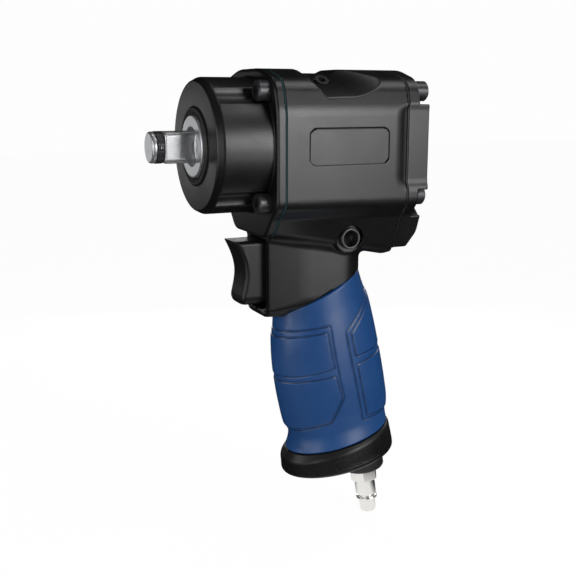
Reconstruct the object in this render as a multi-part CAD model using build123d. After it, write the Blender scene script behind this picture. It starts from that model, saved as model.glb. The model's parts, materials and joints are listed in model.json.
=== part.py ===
from build123d import *
import os
from math import cos, degrees, radians, sin, sqrt, tan

# Compact air impact wrench with a half-inch square drive and a pistol grip.
# Millimetres. The origin is the centre of the anvil's shoulder on the drive axis,
# +X runs forward out of the anvil, +Y is the tool's left side, +Z is up.

# Fits
running = 0.05               # radial play of a shaft in its bush
slack = 0.4                  # play round a part that slides in a cast pocket
far = 200.0                  # longer than the tool, for through cuts

# Drive end
drive_size = 12.7            # half-inch square, across flats
drive_corner_r = 8.2         # rounded corners of the square, from the axis
drive_tip_x = 17.95
drive_tip_edge = 0.6
ring_front_x = 16.0          # groove of the friction ring
ring_back_x = 13.5
ring_groove_r = 4.3
cushion = 1.2                # square rubber ring under the friction ring
ring_r = 6.5
ring_play = 0.1
ring_split = 1.6
blend_r = 9.6                # foot of the square where it meets the shoulder
blend_waist = (0.9, 7.5)
blend_x = 3.0
shoulder_r = 12.8            # journal that turns in the nose
shoulder_edge = 0.5
journal_back_x = -9.05
collar_r = 13.8              # keeps the anvil from pulling out
collar_back_x = -10.8
jaw_root_r = 7.6
jaw_tip_r = 10.4
jaw_width = 8.0
jaw_front_x = -14.5
anvil_back_x = -23.0
tail_r = 3.0                 # pilot that turns in the rotor's nose
tail_back_x = -27.5

# Hammer case
case_front_x = -1.5
case_r = 27.8
case_edge_r = 26.4           # flat of the front face
case_edge_x = -4.2
case_bore_r = 23.4
case_wall_x = -8.6           # inside of the front wall
nose_bore_r = 16.0
seal_front_x = -0.7
seal_back_x = -4.0
seal_bore_r = 13.1
seal_edge = 0.8
flange_front_x = -25.2
flange_back_x = -28.9
flange_edge = 1.0
groove_r = 4.9               # key access beside each case bolt
groove_front_x = -4.6
gasket = 0.4

# Bolts, M5 socket heads on one rectangular pattern at both ends
bolt_y = 19.8
bolt_z = 22.2
bolt_r = 2.5
bolt_hole_r = 2.75
bolt_head_r = 4.25
bolt_head = 5.0
bolt_socket = 4.0            # across flats
bolt_socket_depth = 2.6
bolt_length = 16.0
washer = 1.6

# Body outline, front and rear, as (y, z) corners from the crown down to the keel
front_half = 29.8
rear_half = 28.5
front_corners = [
    (10.5, 31.2), (26.4, 26.8), (front_half, 14.5), (front_half, -23.6), (22.9, -29.4), (16.6, -37.4)]
rear_corners = [
    (10.5, 31.2), (25.1, 26.8), (rear_half, 14.5), (rear_half, -24.0), (23.4, -30.0), (16.2, -49.2)]
corner_radii = [30.0, 9.0, 18.0, 7.0, 6.0, 7.0]
housing_front_x = flange_back_x - gasket
housing_back_x = -86.5
cover_front_x = housing_back_x - gasket
cover_back_x = -97.5
cover_step_x = -92.5         # floor of the bolt pockets
cover_crown_z = 26.5         # top of the raised middle
cover_keel = [(-97.5, -38.2), (-93.7, -45.4)]
cover_keel_r = 8.0
keel_heel = [(-82.0, -49.2), (-87.0, -46.8)]    # rounding under the housing's rear edge
keel_heel_r = 6.0
pocket_y = 13.6
pocket_top_z = 16.8
# lower bolt pocket, as (y, z) corners open to the side
lower_pocket = [(15.0, -19.2), (40.0, -19.2), (40.0, -30.8), (21.4, -30.8), (16.9, -26.4), (15.0, -24.0)]
pocket_bore_r = 4.75

# Cast details of the housing
scoop_front_x = -42.1        # saddle across the shoulders
scoop_floor_r = 43.3
scoop_floor_z = 29.7
scoop_front_foot = (-48.3, 0, 19.5)      # where the front ramp leaves the floor
scoop_front_normal = (1, 0, -0.93)
scoop_back_foot = (-61.5, 0, 29.7)       # ramp behind the crown
scoop_back_normal = (1, 0, 1)
scoop_corner_foot = (-66.7, 27.5, 19.5)  # ramps behind the two shoulders
scoop_corner_normal = (1, 1.234, 1.777)
panel_x = (-76.9, -39.7)     # bare recessed panel on each side
panel_z = (-7.2, 7.4)
panel_corner = 3.0
panel_depth = 0.6
relief_front_x = -85.4       # shallow relief between the rear bolt bosses, at its floor
relief_half_z = 15.4
relief_depth = 1.1
relief_slope = 3.0           # run of its sides for each unit of depth
relief_corner = 2.5
oil_x = -50.8
oil_y = 17.2
oil_tilt = 38.0
oil_r = 2.9
oil_length = 5.0
oil_proud = 0.8
oil_socket = 3.0

# Motor
motor_bore_r = 23.6
motor_r = 23.5
plate_front_x = -29.6
plate = 10.0
bearing_r = 14.0
bearing_width = 8.0
bearing_web = 1.8
shaft_r = 6.0
shaft_hole_r = 7.0
liner_front_x = plate_front_x - plate
liner_length = 34.0
liner_back_x = liner_front_x - liner_length
liner_bore_r = 20.5
liner_offset = 1.6
port = (4.5, 7.0)            # windows through the liner, along and across
port_pitch = 9.0
port_angles = (-40, 40)
rotor_r = 18.5
rotor_play = 0.2
vane_count = 6
vane_slot = 2.3
vane_width = 2.0
vane_root_r = 10.0
vane_tip_r = 18.4
nose_hex = 10.0              # drive from the rotor into the hammer cage
nose_front_x = -23.6
nose_back_x = -28.3
dowel_r = 1.3
dowel_z = -21.2

# Hammer
cage_r = 22.6
cage_bar_r = 20.0
cage_bar_angle = 30.0
cage_front_x = -11.2
cage_front_plate = 2.8
cage_rear_x = -23.3
cage_back_x = -28.0
cage_bore_r = 11.2
pin_z = 16.5
pin_r = 2.5
dog_r = 17.7
dog_boss_r = 5.2
dog_opening_r = 13.0
dog_lobe_r = 10.8
dog_lobe = 7.0
dog_gap = 0.3

# Neck, trigger and throttle
neck_front_x = -29.2
neck_front_half = 12.0
neck_full_x = -48.0          # where the throat reaches its full width
neck_back_x = -77.3
neck_half = 14.5
neck_corner = 1.5
neck_root_z = -30.0          # inside the keel
neck_top_z = -38.8           # top of the throat's front, clear of the flange
neck_bottom_z = -73.2
neck_belly_r = 9.0           # rounding under the neck beside the chin
chin_front_x = -25.2
chin_back_x = -40.0
chin_top_z = -69.2
chin_toe = (-28.6, -72.8)
chin_plan_r = 11.0
trigger_half = 7.5
trigger_top_z = -39.8
trigger_bottom_z = -68.4
trigger_back_x = -31.0
trigger_front = [
    (-16.0, trigger_top_z), (-18.3, -44.5), (-19.9, -49.0), (-20.6, -53.5), (-20.1, -58.5), (-19.0, -63.4)]
trigger_lip = [(-18.9, -66.7), (-21.2, trigger_bottom_z)]
trigger_top_edge = 0.8
trigger_bottom_edge = 5.0
trigger_front_edge = 1.8
trigger_travel = 6.0
pocket_end_play = 1.0
throttle_z = -53.0
stem_r = 2.0
stem_front_x = -25.5
throttle_bush_r = 6.0
throttle_bush_front_x = -38.5
throttle_bush_back_x = -50.0
valve_front_x = -50.1
valve_back_x = -54.0
valve_r = 5.0
chamber_r = 6.6
chamber_back_x = -68.0
spring_r = 3.6
spring_wire = 0.9            # square wire
spring_turns = 3

# Reverse valve across the keel
reverse_x = -64.6
reverse_z = -39.7
reverse_boss_r = 6.7
reverse_boss_y = 17.4
sleeve_r = 5.9
spool_r = 4.65
spool_wall = 1.2
spool_hollow = 5.0
spool_waist_r = 3.0
spool_waist = 9.0
spool_left_y = 19.4
reverse_travel = 5.0

# Handle, raked back from the vertical, in its own frame: u forward, w down its axis
rake = 9.0
handle_x = -62.0
handle_z = -85.0
grip_top = -22.4
grip_top_slant = 16.0
grip_bottom = 49.9
# w, centre u, half length and half width of the grip
grip_sections = [
    (-36.0, 0.1, 19.3, 14.9),
    (-25.0, 0.4, 20.6, 15.6),
    (-14.0, 0.1, 22.8, 16.2),
    (-3.0, 0.6, 24.7, 17.0),
    (8.0, 0.8, 25.8, 17.5),
    (19.0, 0.6, 26.3, 17.7),
    (30.0, 0.2, 26.3, 17.5),
    (38.0, -0.1, 25.9, 17.3),
    (44.0, -0.2, 24.6, 17.5),
    (49.0, 0.5, 25.1, 18.5),
    (54.0, 2.2, 26.2, 19.6),
]
core_sections = [(-36.0, 0.2, 16.0, 12.4), (54.0, 0.8, 22.0, 14.6)]
base_slant = 3.0             # the base stands a little off square to the handle
base_top = 50.2
base_bottom = 61.4
base_centre = 2.0
base_half = (28.1, 20.9)
# w and inset of the base's outside, from the grip's edge down over the band to the rounded foot
base_profile = [(base_top, 1.7), (52.9, 0.0), (59.2, 0.2), (60.6, 0.8), (base_bottom, 2.2)]
base_wall = 5.6
base_floor = 57.0
base_panel_u = (-10.0, 12.0)
base_panel_w = (55.3, 59.2)
base_panel_depth = 0.6
muffler_play = 0.5
exhaust_slots = 4
exhaust_slot = (2.4, 20.0)
exhaust_pitch = 4.6
exhaust_u = 3.0
inlet_u = -10.5              # inlet axis, behind the handle's axis
inlet_r = 4.5
inlet_top = -34.0
inlet_bush_r = 8.0
inlet_bush_top = 40.0
inlet_socket_wall = 2.0      # ring of the base round the bush
inlet_flange_r = 10.2
inlet_flange_top = 59.4
inlet_flange_bottom = 71.9
plug_thread_r = 6.2
plug_thread_top = 61.5
plug_hex = 12.0
plug_hex_bottom = 78.6
plug_shank_r = 4.9
plug_shank_bottom = 86.6
plug_neck_r = 3.7
plug_bulge_r = 5.05
plug_bulge_w = (87.8, 89.8)
plug_nose_r = 3.9
plug_bottom = 95.8
plug_bore_r = 2.6

handle_forward = Vector(cos(radians(rake)), 0, -sin(radians(rake)))
handle_down = Vector(-sin(radians(rake)), 0, -cos(radians(rake)))


def across(x):
    """Plane square to the drive axis: its x is +Y and its y is +Z."""
    return Plane(origin=(x, 0, 0), x_dir=(0, 1, 0), z_dir=(1, 0, 0))


def along_y(y):
    """Plane facing the tool's right side: its x is +X and its y is +Z."""
    return Plane(origin=(0, y, 0), x_dir=(1, 0, 0), z_dir=(0, -1, 0))


def handle_plane(w, u=0.0):
    """Plane square to the handle's axis: its x is forward and its y is +Y."""
    origin = Vector(handle_x, 0, handle_z) + handle_forward * u + handle_down * w
    return Plane(origin=origin, x_dir=handle_forward, z_dir=-handle_down)


def turned(*profile):
    """Round part about the drive axis from its half profile of (x, radius) points."""
    return revolve(Plane.XZ * make_face(Polyline(*profile, close=True)), Axis.X)


def bar(x_front, x_back, radius, y=0.0, z=0.0):
    """Cylinder along X between two stations."""
    return extrude(across(x_back) * Pos(y, z) * Circle(radius), amount=x_front - x_back)


def tube(x_front, x_back, outer, inner):
    """Ring along X about the drive axis."""
    return bar(x_front, x_back, outer) - bar(x_front, x_back, inner)


def cross_bar(y_left, y_right, radius):
    """Cylinder along Y on the reverse valve's axis."""
    plane = along_y(y_left)
    return extrude(plane * Pos(reverse_x, reverse_z) * Circle(radius), amount=y_left - y_right)


def handle_bar(w_top, w_bottom, radius, u):
    """Cylinder along the handle."""
    return extrude(handle_plane(w_bottom, u) * Circle(radius), amount=w_bottom - w_top)


def side_prism(half_width, points, radii):
    """Outline in the X-Z plane, extruded across the tool to both sides."""
    outline = make_face(FilletPolyline(*points, radius=radii, close=True))
    return extrude(along_y(half_width) * outline, amount=2 * half_width)


def block(x, y, z):
    """Box between pairs of limits."""
    size = (x[1] - x[0], y[1] - y[0], z[1] - z[0])
    centre = ((x[0] + x[1]) / 2, (y[0] + y[1]) / 2, (z[0] + z[1]) / 2)
    return Pos(*centre) * Box(*size)


def bolt_places():
    """Four (y, z) places of the bolt pattern."""
    return [(y, z) for y in (bolt_y, -bolt_y) for z in (bolt_z, -bolt_z)]


def outline(x, corners):
    """Body section at x: a crowned square above a narrower keel."""
    left = [(-y, z) for y, z in reversed(corners)]
    section = FilletPolyline(*corners, *left, radius=corner_radii + corner_radii[::-1], close=True)
    return across(x) * make_face(section)


def base_plane(w):
    """Plane of the base, a little off square to the handle."""
    return handle_plane(w) * Rot(Y=base_slant)


def oval(plane, centre, half_length, half_width):
    """Section of the handle or its base."""
    return plane * Pos(centre, 0) * Ellipse(half_length, half_width)


def handle_form():
    """The grip's outer form."""
    return loft([oval(handle_plane(w), *section) for w, *section in grip_sections])


def handle_core():
    """The cast handle inside the grip, a plain taper."""
    (w_top, *top), (w_bottom, *bottom) = core_sections
    return loft([oval(handle_plane(w_top), *top), oval(handle_plane(w_bottom), *bottom)], ruled=True)


def above_grip():
    """Half space over the grip's slanted top edge."""
    tilt = handle_plane(grip_top) * Rot(Y=grip_top_slant)
    return extrude(tilt * Rectangle(far, far), amount=far)


def below(w):
    """Half space under the base plane at w."""
    return extrude(base_plane(w) * Rectangle(far, far), amount=-far)


def anvil():
    tip = turned(
        (ring_front_x, 0),
        (drive_tip_x, 0),
        (drive_tip_x, drive_size / 2 - drive_tip_edge),
        (drive_tip_x - drive_tip_edge, drive_size / 2),
        (ring_front_x, drive_size / 2),
    )
    square = extrude(across(0) * Rectangle(drive_size, drive_size), amount=ring_back_x)
    square &= bar(ring_back_x, 0, drive_corner_r)
    foot = turned((0, 0), (0, blend_r), blend_waist, (blend_x, drive_size / 2), (blend_x, 0))
    shaft = turned(
        (0, 0),
        (0, shoulder_r - shoulder_edge),
        (-shoulder_edge, shoulder_r),
        (journal_back_x, shoulder_r),
        (journal_back_x, collar_r),
        (collar_back_x, collar_r),
        (collar_back_x, jaw_root_r),
        (anvil_back_x, jaw_root_r),
        (anvil_back_x, tail_r),
        (tail_back_x, tail_r),
        (tail_back_x, 0),
    )
    jaws = bar(jaw_front_x, anvil_back_x, jaw_tip_r)
    jaws &= block((anvil_back_x, jaw_front_x), (-jaw_width / 2, jaw_width / 2), (-far, far))
    return tip + bar(ring_front_x, ring_back_x, ring_groove_r) + square + foot + shaft + jaws


def friction_ring():
    ring = tube(ring_front_x - ring_play, ring_back_x + ring_play, ring_r, ring_groove_r + cushion)
    return ring - block((ring_back_x, ring_front_x), (0, far), (-ring_split / 2, ring_split / 2))


def ring_cushion():
    middle = (ring_front_x + ring_back_x) / 2
    return tube(middle + cushion / 2, middle - cushion / 2, ring_groove_r + cushion, ring_groove_r)


def nose_seal():
    return turned(
        (seal_back_x, seal_bore_r),
        (seal_front_x, seal_bore_r),
        (seal_front_x, nose_bore_r - seal_edge),
        (seal_front_x - seal_edge, nose_bore_r),
        (seal_back_x, nose_bore_r),
    )


def anvil_bush():
    return tube(seal_back_x, journal_back_x + running, nose_bore_r, shoulder_r + running)


def bolt_holes(x_front, x_back, radius):
    holes = Part()
    for y, z in bolt_places():
        holes += bar(x_front, x_back, radius, y, z)
    return holes


def hammer_case():
    barrel = turned(
        (case_front_x, 0),
        (case_front_x, case_edge_r),
        (case_edge_x, case_r),
        (flange_back_x, case_r),
        (flange_back_x, 0),
    )
    for y, z in bolt_places():
        barrel -= bar(groove_front_x, flange_front_x, groove_r, y, z)
    flange = extrude(outline(flange_back_x, front_corners), amount=flange_front_x - flange_back_x)
    rim = flange.faces().sort_by(Axis.X)[-1].edges()
    flange = chamfer(rim, flange_edge)
    case = barrel + flange
    case -= bar(case_wall_x, flange_back_x - 1, case_bore_r)
    case -= bar(case_front_x + 1, case_wall_x - 1, nose_bore_r)
    return case - bolt_holes(flange_front_x + 1, flange_back_x - 1, bolt_hole_r)


def socket_bolt(seat_x, facing, y, z):
    """Socket-head bolt with its head on the seat, its shank running away from facing (+1 or -1)."""
    shape = turned(
        (-bolt_length, 0),
        (-bolt_length, bolt_r),
        (0, bolt_r),
        (0, bolt_head_r),
        (bolt_head, bolt_head_r),
        (bolt_head, 0),
    )
    socket = across(bolt_head) * RegularPolygon(bolt_socket / 2, 6, major_radius=False)
    shape -= extrude(socket, amount=-bolt_socket_depth)
    if facing < 0:
        shape = Rot(Z=180) * shape
    return Pos(seat_x, y, z) * shape


def case_bolts():
    return Compound(children=[socket_bolt(flange_front_x, 1, y, z) for y, z in bolt_places()])


def cover_bolts():
    seat = cover_step_x - washer
    return Compound(children=[socket_bolt(seat, -1, y, z) for y, z in bolt_places()])


def cover_washers():
    rings = []
    for y, z in bolt_places():
        rings.append(Pos(0, y, z) * tube(cover_step_x, cover_step_x - washer, bolt_head_r, bolt_hole_r))
    return Compound(children=rings)


def flat_gasket(section, x_back):
    sheet = extrude(section, amount=gasket)
    sheet -= bar(x_back + 1, x_back - 1, motor_bore_r)
    return sheet - bolt_holes(x_back + 1, x_back - 1, bolt_hole_r)


def front_gasket():
    return flat_gasket(outline(housing_front_x, front_corners), housing_front_x)


def rear_gasket():
    sheet = flat_gasket(outline(cover_front_x, rear_corners), cover_front_x) - side_cuts()
    return sheet & block((-far, far), (-far, far), (cover_keel[-1][1], far))


def half_space(foot, normal):
    """Everything on the normal's side of a plane."""
    return extrude(Plane(origin=foot, z_dir=normal) * Rectangle(2 * far, 2 * far), amount=far)


def scoop():
    """Saddle cut over a shallow arc, from a steep front to ramps that run further back at the shoulders."""
    floor_centre = scoop_floor_z - scoop_floor_r
    section = across(scoop_front_x) * (Rectangle(far, far) - Pos(0, floor_centre) * Circle(scoop_floor_r))
    section -= across(scoop_front_x) * Pos(0, -far / 2) * Rectangle(far, far)
    cut = extrude(section, amount=housing_back_x - scoop_front_x)
    cut -= half_space(scoop_front_foot, scoop_front_normal)
    x, y, z = scoop_corner_foot
    along, out, up = scoop_corner_normal
    ramps = half_space(scoop_back_foot, scoop_back_normal)
    ramps += half_space(scoop_corner_foot, scoop_corner_normal)
    ramps += half_space((x, -y, z), (along, -out, up))
    return cut & ramps


def relief(level):
    """Relief outline, wider the further out it stands over its floor."""
    spread = relief_slope * level
    length = 2 * (relief_front_x + spread - cover_back_x)
    return RectangleRounded(length, 2 * (relief_half_z + spread), relief_corner + spread)


def side_cuts():
    """Bare panels and rear reliefs on both sides of the body."""
    taper = (front_half - rear_half) / (housing_front_x - housing_back_x)
    clear = 2 * relief_depth
    hollow = loft([Plane.XZ * relief(0), Plane.XZ.offset(-clear) * relief(clear)], ruled=True)
    cuts = Part()
    for side in (1, -1):
        middle = (sum(panel_x) / 2, sum(panel_z) / 2)
        size = (panel_x[1] - panel_x[0], panel_z[1] - panel_z[0])
        wall = front_half - taper * (housing_front_x - middle[0])
        panel = extrude(Plane.XZ * RectangleRounded(*size, panel_corner), amount=5, both=True)
        turn = Rot(Z=side * degrees(taper))
        cuts += Pos(middle[0], side * (wall - panel_depth + 5), middle[1]) * turn * panel
        turn = Rot(Z=0 if side > 0 else 180)
        cuts += Pos(cover_back_x, side * (rear_half - relief_depth), 0) * turn * hollow
    return cuts


def neck():
    """Throat between the body and the grip, with the chin below the trigger."""
    rear_x = neck_back_x + neck_half
    plan = make_face(FilletPolyline(
        (neck_front_x, neck_front_half), (neck_full_x, neck_half), (rear_x, neck_half),
        (rear_x, -neck_half), (neck_full_x, -neck_half), (neck_front_x, -neck_front_half),
        radius=[neck_corner, neck_half, 0, 0, neck_half, neck_corner], close=True))
    plan += Pos(rear_x, 0) * Circle(neck_half)
    throat = Pos(0, 0, neck_bottom_z) * extrude(plan, amount=neck_root_z - neck_bottom_z)
    throat -= block((housing_front_x, 0), (-far, far), (neck_top_z, far))
    belly = make_face(FilletPolyline(
        (-neck_half, neck_root_z), (-neck_half, neck_bottom_z), (neck_half, neck_bottom_z),
        (neck_half, neck_root_z), radius=[0, neck_belly_r, neck_belly_r, 0], close=True))
    throat &= extrude(across(-far) * belly, amount=far)
    chin = side_prism(
        chin_plan_r,
        [(chin_back_x, chin_top_z), (chin_front_x, chin_top_z), chin_toe, (chin_back_x, neck_bottom_z)],
        [0, 0.8, 3.0, 0],
    )
    chin &= Pos(chin_front_x - chin_plan_r, 0, -far / 2) * extrude(Circle(chin_plan_r), amount=far)
    return (throat + chin) & above_grip()


def trigger_pocket():
    return block(
        (trigger_back_x - trigger_travel - pocket_end_play, 0),
        (-trigger_half - slack, trigger_half + slack),
        (chin_top_z, trigger_top_z + slack),
    )


def oil_frame():
    """Plane of the oil plug's top, tilted out of the saddle's floor."""
    floor_centre = scoop_floor_z - scoop_floor_r
    floor_z = floor_centre + sqrt(scoop_floor_r ** 2 - oil_y ** 2)
    normal = (0, sin(radians(oil_tilt)), cos(radians(oil_tilt)))
    return Plane(origin=(oil_x, oil_y, floor_z), x_dir=(1, 0, 0), z_dir=normal)


def motor_housing():
    body = loft([outline(housing_front_x, front_corners), outline(housing_back_x, rear_corners)], ruled=True)
    body &= side_prism(
        far / 2,
        [(0, far), (-far, far), (-far, keel_heel[1][1]), *reversed(keel_heel), (0, keel_heel[0][1])],
        [0, 0, 0, 0, keel_heel_r, 0],
    )
    boss = cross_bar(reverse_boss_y, -reverse_boss_y, reverse_boss_r)
    core = handle_core() - above_grip() - below(base_top)
    housing = body + neck() + boss + core
    housing -= scoop()
    housing -= side_cuts()
    housing -= bar(housing_front_x + 1, housing_back_x - 1, motor_bore_r)
    housing -= bolt_holes(flange_front_x + 1, flange_front_x - bolt_length, bolt_r)
    rear_tip = cover_step_x - washer + bolt_length
    housing -= bolt_holes(rear_tip, housing_back_x - 1, bolt_r)
    housing -= cross_bar(far / 2, -far / 2, sleeve_r)
    housing -= trigger_pocket()
    housing -= bar(trigger_back_x, throttle_bush_back_x, throttle_bush_r, 0, throttle_z)
    housing -= bar(throttle_bush_back_x, chamber_back_x, chamber_r, 0, throttle_z)
    housing -= handle_bar(inlet_top, inlet_bush_top + 1, inlet_r, inlet_u)
    housing -= handle_bar(inlet_bush_top, base_bottom, inlet_bush_r, inlet_u)
    housing -= extrude(oil_frame() * Circle(oil_r), amount=-oil_length)
    housing -= extrude(oil_frame() * Circle(oil_r + 0.5), amount=oil_length)
    return housing


def oil_plug():
    top = oil_frame().offset(oil_proud)
    plug = extrude(top * Circle(oil_r), amount=-oil_length - oil_proud)
    socket = top * RegularPolygon(oil_socket / 2, 6, major_radius=False)
    return plug - extrude(socket, amount=-oil_length / 2)


def bearing_plate(x_front, opens):
    """End plate of the motor with its bearing pocket opening forward (+1) or backward (-1)."""
    x_back = x_front - plate
    disc = bar(x_front, x_back, motor_r) - bar(x_front + 1, x_back - 1, shaft_hole_r)
    if opens > 0:
        disc -= bar(x_front + 1, x_back + bearing_web, bearing_r)
    else:
        disc -= bar(x_front - bearing_web, x_back - 1, bearing_r)
    return disc - bar(x_front + 1, x_back - 1, dowel_r, 0, dowel_z)


def bearing(x_front):
    return tube(x_front, x_front - bearing_width, bearing_r, shaft_r + running)


def cylinder_liner():
    liner = bar(liner_front_x, liner_back_x, motor_r)
    liner -= bar(liner_front_x + 1, liner_back_x - 1, liner_bore_r, 0, liner_offset)
    liner -= bar(liner_front_x + 1, liner_back_x - 1, dowel_r, 0, dowel_z)
    middle = (liner_front_x + liner_back_x) / 2
    for step in (-1, 0, 1):
        x = middle + port_pitch * step
        window = block((x - port[0] / 2, x + port[0] / 2), (-port[1] / 2, port[1] / 2), (0, far))
        for angle in port_angles:
            liner -= Rot(X=angle) * window
    return liner


def rotor():
    drum = bar(liner_front_x - rotor_play, liner_back_x + rotor_play, rotor_r)
    for step in range(vane_count):
        slot = block((-far, far), (-vane_slot / 2, vane_slot / 2), (vane_root_r, far))
        drum -= Rot(X=360 / vane_count * step) * slot
    shaft_back = liner_back_x - plate + rotor_play
    shaft = bar(nose_back_x, shaft_back, shaft_r)
    hexagon = across(nose_back_x) * RegularPolygon(nose_hex / 2, 6, major_radius=False)
    nose = extrude(hexagon, amount=nose_front_x - nose_back_x)
    return drum + shaft + nose - bar(nose_front_x + 1, tail_back_x - slack, tail_r + running)


def rotor_vanes():
    vanes = []
    for step in range(vane_count):
        vane = block(
            (liner_back_x + rotor_play, liner_front_x - rotor_play),
            (-vane_width / 2, vane_width / 2),
            (vane_root_r, vane_tip_r),
        )
        vanes.append(Rot(X=360 / vane_count * step) * vane)
    return Compound(children=vanes)


def liner_dowel():
    return bar(plate_front_x - 2, liner_back_x - plate + 2, dowel_r, 0, dowel_z)


def hammer_cage():
    front_back_x = cage_front_x - cage_front_plate
    cage = tube(cage_front_x, front_back_x, cage_r, cage_bore_r)
    hexagon = across(cage_back_x) * RegularPolygon(nose_hex / 2 + running, 6, major_radius=False)
    rear = bar(cage_rear_x, cage_back_x, cage_r) - extrude(hexagon, amount=cage_rear_x - cage_back_x)
    cage += rear
    wall = tube(front_back_x, cage_rear_x, cage_r, cage_bar_r)
    for angle in (45, 135, 225, 315):
        half = tan(radians(cage_bar_angle / 2)) * far
        wedge = across(cage_back_x) * make_face(Polyline((0, 0), (far, -half), (far, half), close=True))
        cage += wall & (Rot(X=angle) * extrude(wedge, amount=-cage_back_x))
    return cage - bar(0, cage_back_x - 1, pin_r, 0, pin_z)


def hammer_pin():
    return bar(cage_front_x, cage_back_x, pin_r, 0, pin_z)


def hammer_dog():
    lobes = (Circle(dog_opening_r) - Circle(dog_lobe_r)) & Rectangle(2 * dog_opening_r, dog_lobe)
    section = Circle(dog_r) + Pos(0, pin_z) * Circle(dog_boss_r)
    section -= Circle(dog_opening_r)
    section += lobes
    section -= Pos(0, pin_z) * Circle(pin_r + running)
    back = cage_rear_x + dog_gap
    front = cage_front_x - cage_front_plate - dog_gap
    return extrude(across(back) * section, amount=front - back)


def rear_cover():
    section = outline(cover_back_x, rear_corners)
    cover = extrude(section, amount=cover_front_x - cover_back_x)
    cover -= block((-far, cover_step_x), (-far, far), (cover_crown_z, far))
    lower = extrude(across(cover_step_x) * make_face(Polyline(*lower_pocket, close=True)), amount=-far)
    cover -= lower + mirror(lower, Plane.XZ)
    for side in (1, -1):
        wide = (pocket_y, far) if side > 0 else (-far, -pocket_y)
        cover -= block((-far, cover_step_x), wide, (pocket_top_z, far))
    cover -= bolt_holes(cover_step_x, cover_back_x - 1, pocket_bore_r)
    cover &= side_prism(
        far / 2,
        [(0, far), (cover_back_x, far), *cover_keel, (0, cover_keel[-1][1])],
        [0, 0, cover_keel_r, 0, 0],
    )
    cover += tube(liner_back_x - plate, cover_front_x, motor_r, bearing_r)
    cover -= side_cuts()
    return cover - bolt_holes(cover_front_x + 1, cover_step_x - 1, bolt_hole_r)


def reverse_sleeve():
    end = reverse_boss_y - 0.4
    return cross_bar(end, -end, sleeve_r) - cross_bar(end + 1, -end - 1, spool_r + running)


def reverse_spool():
    right = -spool_left_y + reverse_travel
    spool = cross_bar(spool_left_y, right, spool_r)
    inner = spool_r - spool_wall
    spool -= cross_bar(spool_left_y, spool_left_y - spool_hollow, inner)
    spool -= cross_bar(right + spool_hollow, right, inner)
    middle = (spool_left_y + right) / 2
    waist = (middle + spool_waist / 2, middle - spool_waist / 2)
    return spool - (cross_bar(*waist, spool_r + 1) - cross_bar(*waist, spool_waist_r))


def trigger():
    front = Spline(*trigger_front)
    lip = ThreePointArc(trigger_front[-1], *trigger_lip)
    back = [(trigger_back_x, trigger_bottom_z), (trigger_back_x, trigger_top_z)]
    rest = Polyline(trigger_lip[-1], *back, trigger_front[0])
    blade = extrude(along_y(trigger_half) * make_face(front + lip + rest), amount=2 * trigger_half)
    curved = [edge for edge in blade.edges() if edge.geom_type in (GeomType.BSPLINE, GeomType.CIRCLE)]
    blade = fillet(curved, trigger_front_edge)
    view = make_face(FilletPolyline(
        (-trigger_half, trigger_top_z), (trigger_half, trigger_top_z),
        (trigger_half, trigger_bottom_z), (-trigger_half, trigger_bottom_z),
        radius=[trigger_top_edge, trigger_top_edge, trigger_bottom_edge, trigger_bottom_edge], close=True))
    blade &= extrude(across(trigger_back_x) * view, amount=far)
    return blade - bar(stem_front_x, trigger_back_x - 1, stem_r, 0, throttle_z)


def trigger_stem():
    return bar(stem_front_x, valve_front_x, stem_r, 0, throttle_z)


def throttle_bush():
    bush = bar(throttle_bush_front_x, throttle_bush_back_x, throttle_bush_r, 0, throttle_z)
    return bush - bar(throttle_bush_front_x + 1, throttle_bush_back_x - 1, stem_r + running, 0, throttle_z)


def throttle_valve():
    return bar(valve_front_x, valve_back_x, valve_r, 0, throttle_z)


def throttle_spring():
    length = valve_back_x - chamber_back_x - spring_wire
    start = Plane(origin=(chamber_back_x + spring_wire / 2, 0, throttle_z), x_dir=(0, 1, 0), z_dir=(1, 0, 0))
    coil = start * Helix(length / spring_turns, length, spring_r)
    section = Plane(origin=coil @ 0, x_dir=(1, 0, 0), z_dir=coil % 0) * Rectangle(spring_wire, spring_wire)
    return sweep(section, path=coil, is_frenet=True)


def grip_sleeve():
    return handle_form() - handle_core() - above_grip() - below(grip_bottom)


def base_section(w, half, inset=0.0):
    return oval(base_plane(w), base_centre, half[0] - inset, half[1] - inset)


def base_cap():
    outside = [base_section(w, base_half, inset) for w, inset in base_profile]
    cap = loft(outside, ruled=True)
    core = loft([base_section(w, base_half, base_panel_depth) for w in (base_top, base_bottom)], ruled=True)
    panel = handle_plane(base_panel_w[1]) * Pos(sum(base_panel_u) / 2, 0)
    panel *= Rectangle(base_panel_u[1] - base_panel_u[0], far)
    cap -= extrude(panel, amount=base_panel_w[1] - base_panel_w[0]) - core
    cavity = extrude(base_section(base_floor, base_half, base_wall), amount=base_floor - base_top + 1)
    cavity -= handle_bar(base_top - far, base_bottom, inlet_bush_r + inlet_socket_wall, inlet_u)
    cap -= cavity
    for step in range(exhaust_slots):
        v = exhaust_pitch * (step - (exhaust_slots - 1) / 2)
        slot = base_plane(base_bottom + 1) * Pos(exhaust_u + exhaust_slot[1] / 2, v)
        slot *= SlotOverall(exhaust_slot[1], exhaust_slot[0])
        cap -= extrude(slot, amount=base_bottom - base_floor + 2)
    cap -= handle_bar(inlet_flange_top, inlet_flange_bottom, inlet_flange_r, inlet_u)
    return cap - handle_bar(base_top - far, inlet_flange_bottom, inlet_bush_r, inlet_u)


def muffler():
    pad = extrude(
        base_section(base_floor, base_half, base_wall + muffler_play),
        amount=base_floor - base_top - muffler_play,
    )
    post_r = inlet_bush_r + inlet_socket_wall + muffler_play
    return pad - handle_bar(base_top - far, base_bottom, post_r, inlet_u)


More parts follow.
